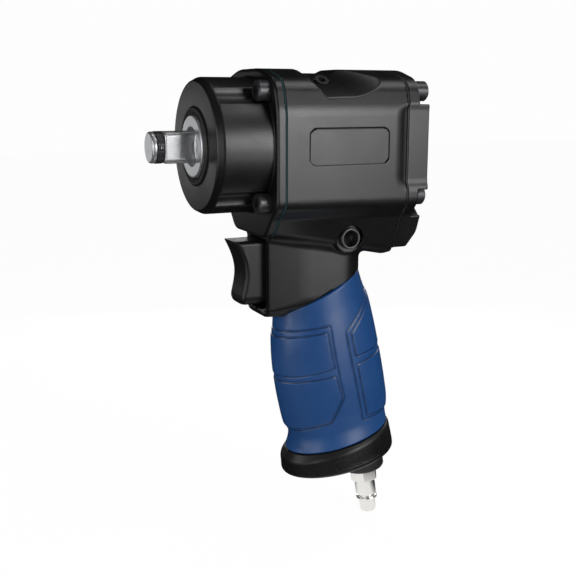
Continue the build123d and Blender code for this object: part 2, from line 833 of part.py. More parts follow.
def inlet_bush():
    bush = handle_bar(inlet_bush_top, inlet_flange_top, inlet_bush_r, inlet_u)
    bush += handle_bar(inlet_flange_top, inlet_flange_bottom, inlet_flange_r, inlet_u)
    bush -= handle_bar(inlet_bush_top - 1, plug_thread_top, inlet_r, inlet_u)
    return bush - handle_bar(plug_thread_top, inlet_flange_bottom + 1, plug_thread_r, inlet_u)


def inlet_screen():
    return handle_bar(plug_thread_top - 1, plug_thread_top, inlet_r, inlet_u)


def air_plug():
    plug = handle_bar(plug_thread_top, inlet_flange_bottom, plug_thread_r, inlet_u)
    hexagon = handle_plane(plug_hex_bottom, inlet_u) * RegularPolygon(plug_hex / 2, 6, major_radius=False)
    plug += extrude(hexagon, amount=plug_hex_bottom - inlet_flange_bottom)
    plug += handle_bar(plug_hex_bottom, plug_shank_bottom, plug_shank_r, inlet_u)
    plug += handle_bar(plug_shank_bottom, plug_bulge_w[0], plug_neck_r, inlet_u)
    plug += handle_bar(plug_bulge_w[0], plug_bulge_w[1], plug_bulge_r, inlet_u)
    plug += handle_bar(plug_bulge_w[1], plug_bottom, plug_nose_r, inlet_u)
    return plug - handle_bar(plug_thread_top - 1, plug_bottom + 1, plug_bore_r, inlet_u)


nodes = {
    "anvil": anvil,
    "friction_ring": friction_ring,
    "ring_cushion": ring_cushion,
    "nose_seal": nose_seal,
    "anvil_bush": anvil_bush,
    "hammer_case": hammer_case,
    "case_bolts": case_bolts,
    "hammer_cage": hammer_cage,
    "hammer_pin": hammer_pin,
    "hammer_dog": hammer_dog,
    "front_gasket": front_gasket,
    "motor_housing": motor_housing,
    "oil_plug": oil_plug,
    "front_bearing_plate": lambda: bearing_plate(plate_front_x, 1),
    "front_bearing": lambda: bearing(plate_front_x - 0.2),
    "cylinder_liner": cylinder_liner,
    "rotor": rotor,
    "rotor_vanes": rotor_vanes,
    "rear_bearing_plate": lambda: bearing_plate(liner_back_x, -1),
    "rear_bearing": lambda: bearing(liner_back_x - bearing_web),
    "liner_dowel": liner_dowel,
    "rear_gasket": rear_gasket,
    "rear_cover": rear_cover,
    "cover_washers": cover_washers,
    "cover_bolts": cover_bolts,
    "reverse_sleeve": reverse_sleeve,
    "reverse_spool": reverse_spool,
    "trigger": trigger,
    "trigger_stem": trigger_stem,
    "throttle_bush": throttle_bush,
    "throttle_valve": throttle_valve,
    "throttle_spring": throttle_spring,
    "grip_sleeve": grip_sleeve,
    "base_cap": base_cap,
    "muffler": muffler,
    "inlet_bush": inlet_bush,
    "inlet_screen": inlet_screen,
    "air_plug": air_plug,
}

os.makedirs("parts", exist_ok=True)
for name, make in nodes.items():
    export_step(make(), f"parts/{name}.step")
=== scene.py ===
import json
import math

import bpy
import numpy as np
from mathutils import Matrix, Vector


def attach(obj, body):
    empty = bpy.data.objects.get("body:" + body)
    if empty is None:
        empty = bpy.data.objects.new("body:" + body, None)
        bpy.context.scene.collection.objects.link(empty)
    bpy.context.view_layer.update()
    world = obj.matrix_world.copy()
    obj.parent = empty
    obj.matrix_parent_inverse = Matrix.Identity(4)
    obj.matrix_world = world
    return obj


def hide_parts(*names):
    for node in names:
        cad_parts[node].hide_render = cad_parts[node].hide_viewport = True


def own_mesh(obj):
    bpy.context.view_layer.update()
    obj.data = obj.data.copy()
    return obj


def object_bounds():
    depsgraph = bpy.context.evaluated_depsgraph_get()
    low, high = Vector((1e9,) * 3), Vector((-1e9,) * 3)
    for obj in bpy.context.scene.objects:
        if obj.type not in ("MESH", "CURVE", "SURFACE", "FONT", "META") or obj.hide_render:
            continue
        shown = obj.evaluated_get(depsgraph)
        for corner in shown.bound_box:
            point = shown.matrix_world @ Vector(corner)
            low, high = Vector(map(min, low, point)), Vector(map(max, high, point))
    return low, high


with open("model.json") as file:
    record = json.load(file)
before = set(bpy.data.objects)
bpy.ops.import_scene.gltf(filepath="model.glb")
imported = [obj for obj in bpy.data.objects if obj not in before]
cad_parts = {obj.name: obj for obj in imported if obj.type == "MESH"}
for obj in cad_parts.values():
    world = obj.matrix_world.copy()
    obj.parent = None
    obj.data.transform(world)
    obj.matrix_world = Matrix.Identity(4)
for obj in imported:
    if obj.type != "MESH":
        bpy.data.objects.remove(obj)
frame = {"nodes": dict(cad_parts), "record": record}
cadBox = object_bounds()
nodes = frame["nodes"]
scene = bpy.context.scene
mm = 0.001  # the frame is in metres, and every size below is in millimetres
print("frame loaded:", len(nodes), "nodes")


def linear(hexColour):
    channels = [int(hexColour[i:i + 2], 16) / 255 for i in (1, 3, 5)]
    return tuple(c / 12.92 if c <= 0.04045 else ((c + 0.055) / 1.055) ** 2.4 for c in channels) + (1.0,)


def addNode(tree, kind, inputs=None, **settings):
    node = tree.nodes.new(kind)
    for name, value in settings.items():
        setattr(node, name, value)
    for name, value in (inputs or {}).items():
        if isinstance(value, bpy.types.NodeSocket):
            tree.links.new(value, node.inputs[name])
        else:
            node.inputs[name].default_value = value
    return node


def mathNode(tree, operation, *values):
    return addNode(tree, "ShaderNodeMath", dict(enumerate(values)), operation=operation).outputs[0]


# Finishes. grain and mottle are sizes in millimetres; depth is how far the grain stands, also in millimetres.
def finish(name, colours, roughness, mottle, grain, depth, metallic=0, specular=0.5, stretch=(1, 1, 1), line=None):
    material = bpy.data.materials.new(name)
    material.use_nodes = True
    tree = material.node_tree
    shader = tree.nodes["Principled BSDF"]
    place = addNode(tree, "ShaderNodeTexCoord").outputs["Object"]
    along = addNode(tree, "ShaderNodeMapping", {"Vector": place, "Scale": stretch}).outputs[0]
    clouds = addNode(tree, "ShaderNodeTexNoise", {
        "Vector": place, "Scale": 1 / (mottle * mm), "Detail": 3, "Roughness": 0.6}).outputs["Fac"]
    specks = addNode(tree, "ShaderNodeTexNoise", {
        "Vector": along, "Scale": 1 / (grain * mm), "Detail": 2, "Roughness": 0.55}).outputs["Fac"]
    # most of the two noises' sum lies between these limits
    swing = {"Value": mathNode(tree, "ADD", clouds, specks), "From Min": 0.7, "From Max": 1.3}
    spread = addNode(tree, "ShaderNodeMapRange", swing)
    rough = addNode(tree, "ShaderNodeMapRange", {**swing, "To Min": roughness[0], "To Max": roughness[1]})
    bump = addNode(tree, "ShaderNodeBump", {"Strength": 0.5, "Distance": depth * mm, "Height": specks})
    tone = addNode(tree, "ShaderNodeMix", {
        0: spread.outputs[0], 6: linear(colours[0]), 7: linear(colours[1])}, data_type="RGBA")
    # line is painted shade: a darker colour laid into the grip's grooves, as much as the mesh's groove attribute says
    if line:
        mark = addNode(tree, "ShaderNodeAttribute", attribute_name="mouldLine")
        tone = addNode(tree, "ShaderNodeMix", {
            0: mark.outputs["Fac"], 6: tone.outputs[2], 7: linear(line)}, data_type="RGBA")
    tree.links.new(tone.outputs[2], shader.inputs["Base Color"])
    tree.links.new(rough.outputs[0], shader.inputs["Roughness"])
    tree.links.new(bump.outputs[0], shader.inputs["Normal"])
    shader.inputs["Metallic"].default_value = metallic
    shader.inputs["Specular IOR Level"].default_value = specular
    return material


finishes = {
    # Satin black epoxy paint over a die casting: a soft wide gloss and a faint orange peel.
    "painted_casting": finish("satinPaintOnDieCastAluminium",
        colours=("#070708", "#0b0b0c"), roughness=(0.33, 0.41), specular=0.45,
        mottle=14, grain=0.7, depth=0.02),
    # Ground alloy steel: pale, with fine marks along the wheel's path.
    "machined_steel": finish("groundAlloySteel",
        colours=("#acadaf", "#bebfc1"), roughness=(0.27, 0.35), metallic=0.85,
        mottle=3, grain=0.35, depth=0.006, stretch=(0.15, 1, 1)),
    # Black oxide on socket screws: nearly black, with a slight oily gloss.
    "black_oxide_steel": finish("blackOxideSteel",
        colours=("#343436", "#454547"), roughness=(0.30, 0.42), metallic=0.7,
        mottle=2.5, grain=0.3, depth=0.006),
    # Turned bronze: warm brown-gold, with fine marks round the turning axis.
    "bronze": finish("turnedBronze",
        colours=("#9a7442", "#b58a52"), roughness=(0.28, 0.4), metallic=1,
        mottle=4, grain=0.4, depth=0.006, stretch=(1, 0.2, 0.2)),
    # Moulded thermoplastic rubber: matt, slightly waxy, with a fine spark-eroded grain from its mould, and painted
    # shade (line) darkening its grooves.
    "blue_rubber": finish("mouldedBlueRubber",
        colours=("#0c3361", "#103a6a"), roughness=(0.31, 0.39), specular=0.5,
        mottle=18, grain=0.55, depth=0.018, line="#09213f"),
    # Nitrile rubber: dull black, a little uneven.
    "black_rubber": finish("mouldedNitrileRubber",
        colours=("#121212", "#191919"), roughness=(0.46, 0.6), specular=0.4,
        mottle=5, grain=0.4, depth=0.012),
    # Pressed fibre sheet: dull, flecked, dark teal.
    "gasket_sheet": finish("pressedFibreGasket",
        colours=("#09292c", "#0e363a"), roughness=(0.7, 0.85), specular=0.2,
        mottle=1.2, grain=0.3, depth=0.01),
    # Glass-filled nylon from a lightly eroded mould: black with a dry sheen.
    "black_plastic": finish("mouldedGlassFilledNylon",
        colours=("#0a0a0b", "#0f0f10"), roughness=(0.36, 0.46), specular=0.35,
        mottle=9, grain=0.6, depth=0.016),
    # Cloth and phenolic resin, pressed in layers: brown, with long fine streaks.
    "vane_laminate": finish("phenolicLaminate",
        colours=("#5f3f22", "#744f2d"), roughness=(0.4, 0.55), mottle=2, grain=0.4,
        depth=0.01, stretch=(0.1, 1, 1)),
    # Pressed wool felt: grey, quite matt and hairy.
    "felt": finish("pressedWoolFelt",
        colours=("#7b7b76", "#97978f"), roughness=(0.9, 1.0), specular=0.2,
        mottle=1.5, grain=0.25, depth=0.12),
    # Black anodised aluminium: charcoal, with a dry metal gloss.
    "anodised_aluminium": finish("blackAnodisedAluminium",
        colours=("#242425", "#2e2e30"), roughness=(0.34, 0.44), metallic=0.5,
        mottle=4, grain=0.35, depth=0.006),
    # Bright nickel over turned steel: mirror-like, with faint turning marks.
    "nickel_plate": finish("brightNickelPlate",
        colours=("#dfdedb", "#ecebe8"), roughness=(0.18, 0.26), metallic=1,
        mottle=5, grain=0.3, depth=0.004, stretch=(0.3, 0.3, 1)),
}
for slotRow in frame["record"]["materials"]:
    for node in nodes.values():
        for place in node.material_slots:
            if place.material and place.material.name.split(".")[0] == slotRow["slot"]:
                place.material = finishes[slotRow["slot"]]
print("finishes made:", len(finishes))


def addPiece(mesh, slot, body, *stoodFor):
    piece = bpy.data.objects.new(mesh.name, mesh)
    scene.collection.objects.link(piece)
    if not mesh.materials:
        mesh.materials.append(finishes[slot])
    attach(piece, body)
    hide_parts(*stoodFor)
    return piece


# Rounded solids are written as distance fields, so that every cast edge gets its own radius.
def unite(a, b, radius):
    return np.maximum(radius, np.minimum(a, b)) - np.hypot(np.maximum(radius - a, 0), np.maximum(radius - b, 0))


def overlap(a, b, radius):
    return np.minimum(-radius, np.maximum(a, b)) + np.hypot(np.maximum(radius + a, 0), np.maximum(radius + b, 0))


def carve(a, b, radius):
    return overlap(a, -b, radius)


def between(v, low, high):
    return np.maximum(low - v, v - high)


def plate(a, b, limitsA, limitsB, corner):
    # rectangle with rounded corners
    da = np.abs(a - sum(limitsA) / 2) - (limitsA[1] - limitsA[0]) / 2 + corner
    db = np.abs(b - sum(limitsB) / 2) - (limitsB[1] - limitsB[0]) / 2 + corner
    return np.hypot(np.maximum(da, 0), np.maximum(db, 0)) + np.minimum(np.maximum(da, db), 0) - corner


def ellipse(a, b, halfA, halfB):
    k0 = np.hypot(a / halfA, b / halfB)
    k1 = np.hypot(a / halfA ** 2, b / halfB ** 2)
    return k0 * (k0 - 1) / np.maximum(k1, 1e-9)


def hexagon(a, b, acrossFlats):
    angles = [math.radians(degrees) for degrees in (30, 90, 150)]
    return np.maximum.reduce([np.abs(a * math.cos(t) + b * math.sin(t)) for t in angles]) - acrossFlats / 2


def profile(a, b, points, other=None, share=0.0):
    # signed distance to a line of points; a middle line at a = 0 closes it
    # with other, the line runs over to other as share goes to 1
    nearest = np.full(a.shape, 1e9)
    inside = np.zeros(a.shape, bool)
    spots = [[p + share * (q - p) for p, q in zip(*pair)] for pair in zip(points, other or points)]
    for (a0, b0), (a1, b1) in zip(spots, spots[1:]):
        da, db = a1 - a0, b1 - b0
        ta, tb = a - a0, b - b0
        t = np.clip((ta * da + tb * db) / np.maximum(da * da + db * db, 1e-9), 0, 1)
        nearest = np.minimum(nearest, (ta - t * da) ** 2 + (tb - t * db) ** 2)
        crossing = (tb < 0) != (tb < db)
        inside ^= crossing & ((ta * db < tb * da) == (db > 0))
    return np.where(inside, -1, 1) * np.sqrt(nearest)


def rounded(corners, radii, steps=10):
    # the inner corners of a line of points, each drawn as an arc
    straight = 1.565  # half an angle in radians, past which a corner needs no arc
    points = [tuple(corners[0])]
    for before, corner, after, radius in zip(corners, corners[1:], corners[2:], radii):
        corner = Vector(corner)
        back, on = (Vector(before) - corner).normalized(), (Vector(after) - corner).normalized()
        half = back.angle(on) / 2
        if radius <= 0 or half > straight:
            points.append(tuple(corner))
            continue
        centre = corner + (back + on).normalized() * radius / math.sin(half)
        start, end = corner + back * radius / math.tan(half), corner + on * radius / math.tan(half)
        arm = start - centre
        turn = arm.angle_signed(end - centre)
        for i in range(steps + 1):
            angle = -turn * i / steps
            points.append((centre.x + arm.x * math.cos(angle) - arm.y * math.sin(angle),
                           centre.y + arm.x * math.sin(angle) + arm.y * math.cos(angle)))
    return points + [tuple(corners[-1])]


def inParts(field, points, most=60000):
    # a part at a time, so that the arrays stay small
    return np.concatenate([field(*part.T) for part in np.array_split(points, len(points) // most + 1)])


def slope(field, points, reach=0.02):
    steps = np.eye(3) * reach
    return np.stack([inParts(field, points + s) - inParts(field, points - s) for s in steps], 1) / (2 * reach)


def gridValues(field, low, high, step, bend):
    # the field at every grid point, worked out finely only in the blocks that the surface may pass through
    block = 4
    coarse = np.ceil((high - low) / (step * block)).astype(int)
    middles = low + step * block * (np.argwhere(np.ones(coarse)) + 0.5)
    rough = inParts(field, bend(middles)).reshape(coarse)
    near = np.abs(rough) < step * block * 1.2  # more than half a block's diagonal
    values, wanted = [np.pad(v.repeat(block, 0).repeat(block, 1).repeat(block, 2), ((0, 1),) * 3, mode="edge")
                      for v in (rough, near)]
    for axis in range(3):
        wanted |= np.roll(wanted, 1, axis)
    values[wanted] = inParts(field, bend(low + step * np.argwhere(wanted)))
    return values


def crossingSums(values, cells, corners):
    # where the surface crosses the edges of each cell, added up, and how many edges it crosses
    total, count = np.zeros((len(cells), 3)), np.zeros(len(cells))
    for first in corners:
        for axis in range(3):
            if first[axis]:
                continue
            second = list(first)
            second[axis] = 1
            a, b = (values[tuple((cells + corner).T)] for corner in (first, second))
            crossed = (a < 0) != (b < 0)
            place = cells[crossed] + np.array(first, float)
            place[:, axis] += (a / np.where(crossed, a - b, 1))[crossed]
            total[crossed] += place
            count[crossed] += 1
    return total, count[:, None]


def gridQuads(inside, number):
    # a face round each grid edge that the surface crosses, turned outward
    quads = []
    for axis in range(3):
        change = inside != np.roll(inside, -1, axis)
        edge = [slice(1, -1)] * 3
        edge[axis] = slice(0, -1)
        found = np.argwhere(change[tuple(edge)]) + np.roll((0, 1, 1), axis)
        back = np.roll([(0, 1, 1), (0, 0, 1), (0, 0, 0), (0, 1, 0)], axis, 1)  # to the four cells round the edge
        ring = np.stack([number[tuple((found - b).T)] for b in back], 1)
        outward = inside[tuple(found.T)]
        quads.append(np.where(outward[:, None], ring, ring[:, ::-1]))
    return np.concatenate(quads)


def castMesh(name, field, part, bend=lambda points: points):
    # one vertex in each grid cell that the surface crosses, pulled onto the surface, with the field's own normals;
    # bend lays the grid along a wall that isn't square to it
    (low, high), step = np.array(part["box"], float), part["step"]
    values = gridValues(field, low, high, step, bend)
    inside = values < 0
    corners = [(i, j, k) for i in (0, 1) for j in (0, 1) for k in (0, 1)]
    size = np.array(values.shape) - 1
    held = [inside[i:size[0] + i, j:size[1] + j, k:size[2] + k] for i, j, k in corners]
    mixed = np.logical_or.reduce(held) & ~np.logical_and.reduce(held)
    cells = np.argwhere(mixed)
    number = np.full(mixed.shape, -1)
    number[mixed] = np.arange(len(cells))
    total, count = crossingSums(values, cells, corners)
    points = bend(low + step * total / count)
    for _ in range(3):  # each round pulls the points closer, by half a cell at most
        grade = slope(field, points)
        gap = inParts(field, points)
        move = grade * (gap / np.maximum((grade ** 2).sum(1), 0.2))[:, None]
        points -= np.clip(move, -0.5 * step, 0.5 * step)
    normals = slope(field, points)
    normals /= np.maximum(np.linalg.norm(normals, axis=1), 1e-9)[:, None]
    return meshOf(name, points, gridQuads(inside, number), normals)


def meshOf(name, points, faces, normals=None):
    mesh = bpy.data.meshes.new(name)
    mesh.from_pydata((np.asarray(points) * mm).tolist(), [], [list(f) for f in faces])
    mesh.polygons.foreach_set("use_smooth", [True] * len(mesh.polygons))
    mesh.update()
    if normals is not None:
        mesh.normals_split_custom_set_from_vertices(normals.tolist())
    print("  made", name, len(mesh.polygons), "faces")
    return mesh


# Body outline, half of it, from the crown down to the keel, at the front flange and at the rear cover.
body = {
    "front": [(10.5, 31.2), (26.4, 26.8), (29.8, 14.5), (29.8, -23.6), (22.9, -29.4), (16.6, -37.4)],
    "rear": [(10.5, 31.2), (25.1, 26.8), (28.5, 14.5), (28.5, -24.0), (23.4, -30.0), (16.2, -49.2)],
    "radii": [30, 9, 18, 7, 6, 7],
    "frontX": -29.3, "backX": -86.5,
}


def halfLine(corners):
    first, last = corners[0], corners[-1]
    line = rounded([(-first[0], first[1])] + corners + [(-last[0], last[1])], body["radii"], 12)
    return [(0, first[1])] + line[1:-1] + [(0, last[1])]


frontLine, rearLine = halfLine(body["front"]), halfLine(body["rear"])
frontHalf, rearHalf = body["front"][2][0], body["rear"][2][0]
boltY, boltZ = 19.8, 22.2  # one rectangular bolt pattern at both ends
handle = {"x": -62, "z": -85, "rake": math.radians(9)}


def toHandle(x, z):
    # u runs forward across the raked handle and w down it
    rake = handle["rake"]
    dx, dz = x - handle["x"], z - handle["z"]
    return dx * math.cos(rake) - dz * math.sin(rake), -dx * math.sin(rake) - dz * math.cos(rake)


def fromHandle(u, v, w):
    rake = handle["rake"]
    x = handle["x"] + u * math.cos(rake) - w * math.sin(rake)
    z = handle["z"] - u * math.sin(rake) - w * math.cos(rake)
    return np.stack(np.broadcast_arrays(x, v, z), -1)


hammerCase = {"frontX": -1.5, "edgeX": -4.2, "edgeR": 26.4, "barrelR": 27.8, "farX": -60,
              "flangeX": (-28.9, -25.2), "boreR": 23.4, "wallX": -8.6, "noseR": 16.0, "grooveR": 4.9, "grooveX": -4.6,
              "step": 0.5, "box": ((-30, -31, -39), (-0.5, 31, 33))}


def caseField(x, y, z):
    c = hammerCase
    radius, side = np.hypot(y, z), np.abs(y)
    shell = profile(radius, x, rounded(
        [(0, c["frontX"]), (c["edgeR"], c["frontX"]), (c["barrelR"], c["edgeX"]), (c["barrelR"], c["farX"]),
         (0, c["farX"])], [0.8, 2.2, 0]))
    grooves = np.hypot(side - boltY, np.abs(z) - boltZ) - c["grooveR"]
    shell = carve(shell, np.maximum(grooves, x - c["grooveX"]), 0.5)
    flange = overlap(profile(side, z, frontLine), x - c["flangeX"][1], 1.1)
    shape = unite(shell, flange, 0.6)
    shape = overlap(shape, c["flangeX"][0] - x, 0.2)
    bore = np.minimum(np.maximum(radius - c["boreR"], x - c["wallX"]), radius - c["noseR"])
    return carve(shape, bore, 0.35)


addPiece(castMesh("hammerCase", caseField, hammerCase), "painted_casting", "housing", "hammer_case")

housing = {
    "scoopX": -42.1, "scoopR": 43.3, "scoopZ": 29.7, "scoopFoot": (-48.3, 19.5), "scoopLean": 0.93,
    "backFoot": (-61.5, 29.7), "cornerFoot": (-66.7, 27.5, 19.5), "cornerLean": (1.0, 1.234, 1.777), "rampR": 3.0,
    "oil": (-50.8, 17.2, 26.14), "oilTilt": 38.0, "oilBores": [(2.95, 5.0), (3.5, 0.5)],  # radius and depth
    "heel": [(-90.0, 60.0), (-90.0, -45.36), (-82.0, -49.2), (0.0, -49.2), (0.0, 60.0), (-90.0, 60.0)], "heelR": 6.0,
    "panelX": (-76.9, -39.7), "panelZ": (-7.2, 7.4), "panelCorner": 3.0, "panelDepth": 0.6,
    "reliefX": (-115, -85.4), "reliefZ": 15.4, "reliefDepth": 1.1, "reliefSlope": 3.0,
    "neckX": (-77.3, -25.3), "neckFullX": -48.0, "neckHalf": (11.5, 14.5), "neckZ": (-73.2, -30.0), "bellyR": 9.0,
    "chin": [(-69.2, -40.0), (-69.2, -25.2), (-72.8, -28.6), (-73.2, -40.0)], "chinX": -36.2, "chinR": 11,
    "reverse": (-64.6, -39.7), "bossR": 6.7, "bossY": 17.4, "sleeveR": 5.9, "motorR": 23.6,
    "pocketHalf": 7.9, "pocketZ": (-69.2, -39.4), "pocketX": -38.0,
    # radius and ends of the bores for the throttle's stem and valve
    "throttleZ": -53.0, "throttleBores": [(6.0, (-52, -30)), (6.6, (-68, -50))],
    "gripTop": -22.4, "gripSlant": 16.0, "step": 0.65, "box": ((-88, -30.9, -80.1), (-24, 30.9, 33)),
}
# half the neck's plan, which ends in a half circle at the rear
(neckBack, neckFront), (noseHalf, neckHalf) = housing["neckX"], housing["neckHalf"]
neckRear = neckBack + neckHalf
neckPlan = rounded([(0, neckFront), (noseHalf, neckFront), (neckHalf, housing["neckFullX"]), (neckHalf, neckRear)],
                   [0, 14.5])
for angle in np.radians(np.arange(3, 91, 3)).tolist():
    neckPlan.append((neckHalf * math.cos(angle), neckRear - neckHalf * math.sin(angle)))
chinLine = [(-down, ahead) for down, ahead in rounded(housing["chin"], [0.8, 3.0])]
heelLine = rounded(housing["heel"], [0, housing["heelR"], 0, 0])
wallTaper = (frontHalf - rearHalf) / (body["frontX"] - body["backX"])


def sideReliefs(x, side, z):
    c = housing
    panelFloor = frontHalf - wallTaper * (body["frontX"] - x) - c["panelDepth"]
    panel = overlap(plate(x, z, c["panelX"], c["panelZ"], c["panelCorner"]), panelFloor - side, 0.2)
    floor = rearHalf - c["reliefDepth"]
    edge = plate(x, z, c["reliefX"], (-c["reliefZ"], c["reliefZ"]), 2.5) - c["reliefSlope"] * (side - floor)
    relief = overlap(edge / math.hypot(1, c["reliefSlope"]), floor - side, 0.4)
    return panel, relief


def scoopField(x, y, z):
    # saddle over the shoulders: a shallow arc from a steep front to ramps that run further back at the sides
    c = housing
    side = np.abs(y)
    floor = c["scoopR"] - np.hypot(y, z - c["scoopZ"] + c["scoopR"])
    front = (x - c["scoopFoot"][0] - c["scoopLean"] * (z - c["scoopFoot"][1])) / math.hypot(1, c["scoopLean"])
    back = (c["backFoot"][0] - x + c["backFoot"][1] - z) / math.sqrt(2)
    along, out, up = c["cornerLean"]
    corner = -(along * (x - c["cornerFoot"][0]) + out * (side - c["cornerFoot"][1]) + up * (z - c["cornerFoot"][2]))
    ramps = np.minimum(back, corner / math.hypot(along, out, up))
    return np.maximum(overlap(floor, ramps, c["rampR"]), np.maximum(np.maximum(front, x - c["scoopX"]), -z))


def oilHole(x, y, z):
    c = housing
    tilt = math.radians(c["oilTilt"])
    dy, dz = y - c["oil"][1], z - c["oil"][2]
    along = dy * math.sin(tilt) + dz * math.cos(tilt)
    radius = np.hypot(x - c["oil"][0], dy * math.cos(tilt) - dz * math.sin(tilt))
    return np.minimum.reduce([np.maximum(radius - boreR, -depth - along) for boreR, depth in c["oilBores"]])


def housingField(x, y, z):
    c = housing
    side = np.abs(y)
    radius = np.hypot(y, z)
    share = np.clip((body["frontX"] - x) / (body["frontX"] - body["backX"]), 0, 1)
    shape = np.maximum(profile(side, z, frontLine, rearLine, share), profile(x, z, heelLine))
    belly = overlap(side - neckHalf, c["neckZ"][0] - z, c["bellyR"])
    throat = overlap(np.maximum(profile(side, x, neckPlan), z - c["neckZ"][1]), belly, 0.8)
    chin = overlap(profile(-z, x, chinLine), np.hypot(x - c["chinX"], y) - c["chinR"], 0.8)
    reach = np.hypot(x - c["reverse"][0], z - c["reverse"][1])
    shape = unite(shape, throat, 3.4)
    shape = overlap(shape, between(x, body["backX"], body["frontX"]), 0.3)
    shape = unite(shape, chin, 1.0)
    shape = unite(shape, overlap(reach - c["bossR"], side - c["bossY"], 0.5), 1.4)
    panel, relief = sideReliefs(x, side, z)
    pocket = plate(side, z, (-c["pocketHalf"], c["pocketHalf"]), c["pocketZ"], 0.6)
    axle = np.hypot(y, z - c["throttleZ"])
    cuts = [(scoopField(x, y, z), 0.3), (oilHole(x, y, z), 0.2), (panel, 0.3), (relief, 0.5),
            (radius - c["motorR"], 0.2), (reach - c["sleeveR"], 0.3), (np.maximum(pocket, c["pocketX"] - x), 0.4)]
    cuts += [(np.maximum(axle - boreR, between(x, *ends)), 0.2) for boreR, ends in c["throttleBores"]]
    for cut, edgeR in cuts:
        shape = carve(shape, cut, edgeR)
    u, w = toHandle(x, z)
    tilt = math.radians(c["gripSlant"])
    lowerEdge = (w - c["gripTop"]) * math.cos(tilt) - u * math.sin(tilt)
    return overlap(shape, lowerEdge, 0.25)


def alongWall(points):
    # the grid narrows toward the rear as the side walls do
    wall = 1 - wallTaper * (body["frontX"] - points[:, :1]) / frontHalf
    return points * np.hstack([np.ones(wall.shape), wall, np.ones(wall.shape)])


addPiece(castMesh("motorHousing", housingField, housing, alongWall), "painted_casting", "housing", "motor_housing")

rearCover = {"x": (-97.5, -86.9), "stepX": -92.5, "crownZ": 26.5, "pocketY": 13.6, "pocketTop": 16.8,
             "pocketR": 4.75, "spigotR": 18.75, "spigotWall": 4.75, "spigotX": (-88, -83.6),
             "pocketLow": [(15.0, -19.2), (40.0, -19.2), (40.0, -30.8), (21.4, -30.8), (16.9, -26.4), (15.0, -24.0),
                           (15.0, -19.2)],
             # the keel's side view, as x and depth under the drive axis
             "keel": [(-97.5, -60), (-97.5, 38.2), (-93.7, 45.4), (-60, 45.4), (-60, -60), (-97.5, -60)],
             "step": 0.5, "box": ((-99, -30, -51), (-83, 30, 33))}
keelLine = rounded(rearCover["keel"], [8.0, 0.8, 0, 0])


def coverField(x, y, z):
    c = rearCover
    side = np.abs(y)
    shape = overlap(profile(side, z, rearLine), between(x, *c["x"]), 0.9)
    pocket = np.minimum.reduce([
        np.maximum(c["pocketY"] - side, c["pocketTop"] - z), profile(side, z, c["pocketLow"]), c["crownZ"] - z,
        np.hypot(side - boltY, np.abs(z) - boltZ) - c["pocketR"]])
    shape = carve(shape, np.maximum(pocket, x - c["stepX"]), 0.8)
    shape = overlap(shape, profile(x, -z, keelLine), 0.8)
    shape = carve(shape, sideReliefs(x, side, z)[1], 0.5)
    spigot = np.maximum(np.abs(np.hypot(y, z) - c["spigotR"]) - c["spigotWall"], between(x, *c["spigotX"]))
    return np.minimum(shape, spigot)


addPiece(castMesh("rearCover", coverField, rearCover), "painted_casting", "housing", "rear_cover")
print("castings made")


def curveThrough(xs, ys, x):
    # smooth curve through stations
    xs, ys = np.array(xs, float), np.array(ys, float)
    tangent = np.gradient(ys, xs)
    i = np.clip(np.searchsorted(xs, x) - 1, 0, len(xs) - 2)
    span = xs[i + 1] - xs[i]
    t = (x - xs[i]) / span
    return ((2 * t ** 3 - 3 * t ** 2 + 1) * ys[i] + (t ** 3 - 2 * t ** 2 + t) * span * tangent[i]
            + (3 * t ** 2 - 2 * t ** 3) * ys[i + 1] + (t ** 3 - t ** 2) * span * tangent[i + 1])


grip = {
    # w, centre u, half length, half width
    "sections": [(-36, .1, 19.3, 14.9), (-25, .4, 20.6, 15.6), (-14, .1, 22.8, 16.2), (-3, .6, 24.7, 17.0),
                 (8, .8, 25.8, 17.5), (19, .6, 26.3, 17.7), (30, .2, 26.3, 17.5), (38, -.1, 25.9, 17.3),
                 (44, -.2, 24.6, 17.5), (49, .5, 25.1, 18.5), (54, 2.2, 26.2, 19.6)],
    "ends": [(-22.4, 16.0), (49.9, 3.0)], "lip": 0.7,  # w and slant in degrees, above and below
    "around": 400, "down": 230, "middle": (26.2, 17.6),
    # the bore, which fits the handle's core, as rows like the sections above
    "core": [(-36, 0.2, 16.0, 12.4), (54, 0.8, 22.0, 14.6)],
    # half outlines of the raised pads, as degrees round from the front or the rear line, and w
    "frontPads": [
        [(0, -7.8), (81, -7.6), (85, 27.5), (68, 37.7), (18, 40.7), (0, 41.0)],
        [(0, -5.0), (77, -5.0), (80, 12.2), (40, 13.4), (0, 13.4)],
        [(0, 15.8), (80, 15.6), (83, 27.0), (66.5, 37.2), (18, 39.3), (0, 39.6)]],
    "rearPads": [
        [(0, -18.5), (30, -16.4), (82, -2.7), (78, 40.9), (32, 42.1), (0, 42.4)],
        [(0, -16.5), (27, -14.6), (76.5, -1.6), (75, 9.7), (33, 10.0), (0, 10.2)],
        [(0, 12.7), (34, 12.7), (75, 13.2), (72.5, 39.3), (36, 41.4), (0, 41.6)]],
    "rim": 0.25, "pad": 0.35, "edge": 0.7, "groove": 0.5, "grooveHalf": 0.4, "grooveIn": 0.1, "cornerR": 1.2,
    "sink": 0.3, "fade": (9, 7),  # the plain surface lies a little low, less so toward the ends
}


def gripSection(w):
    rows = grip["sections"]
    return [curveThrough([r[0] for r in rows], [r[i] for r in rows], w) for i in (1, 2, 3)]


def aroundArc(degrees):
    # millimetres round the grip's middle section from its end
    stops = np.linspace(0, 180, 361)
    angle = np.radians(stops[1:])
    length, width = grip["middle"]
    steps = np.hypot(length * np.sin(angle), width * np.cos(angle)) * math.radians(stops[1])
    return np.interp(degrees, stops, np.concatenate([[0], np.cumsum(steps)]))


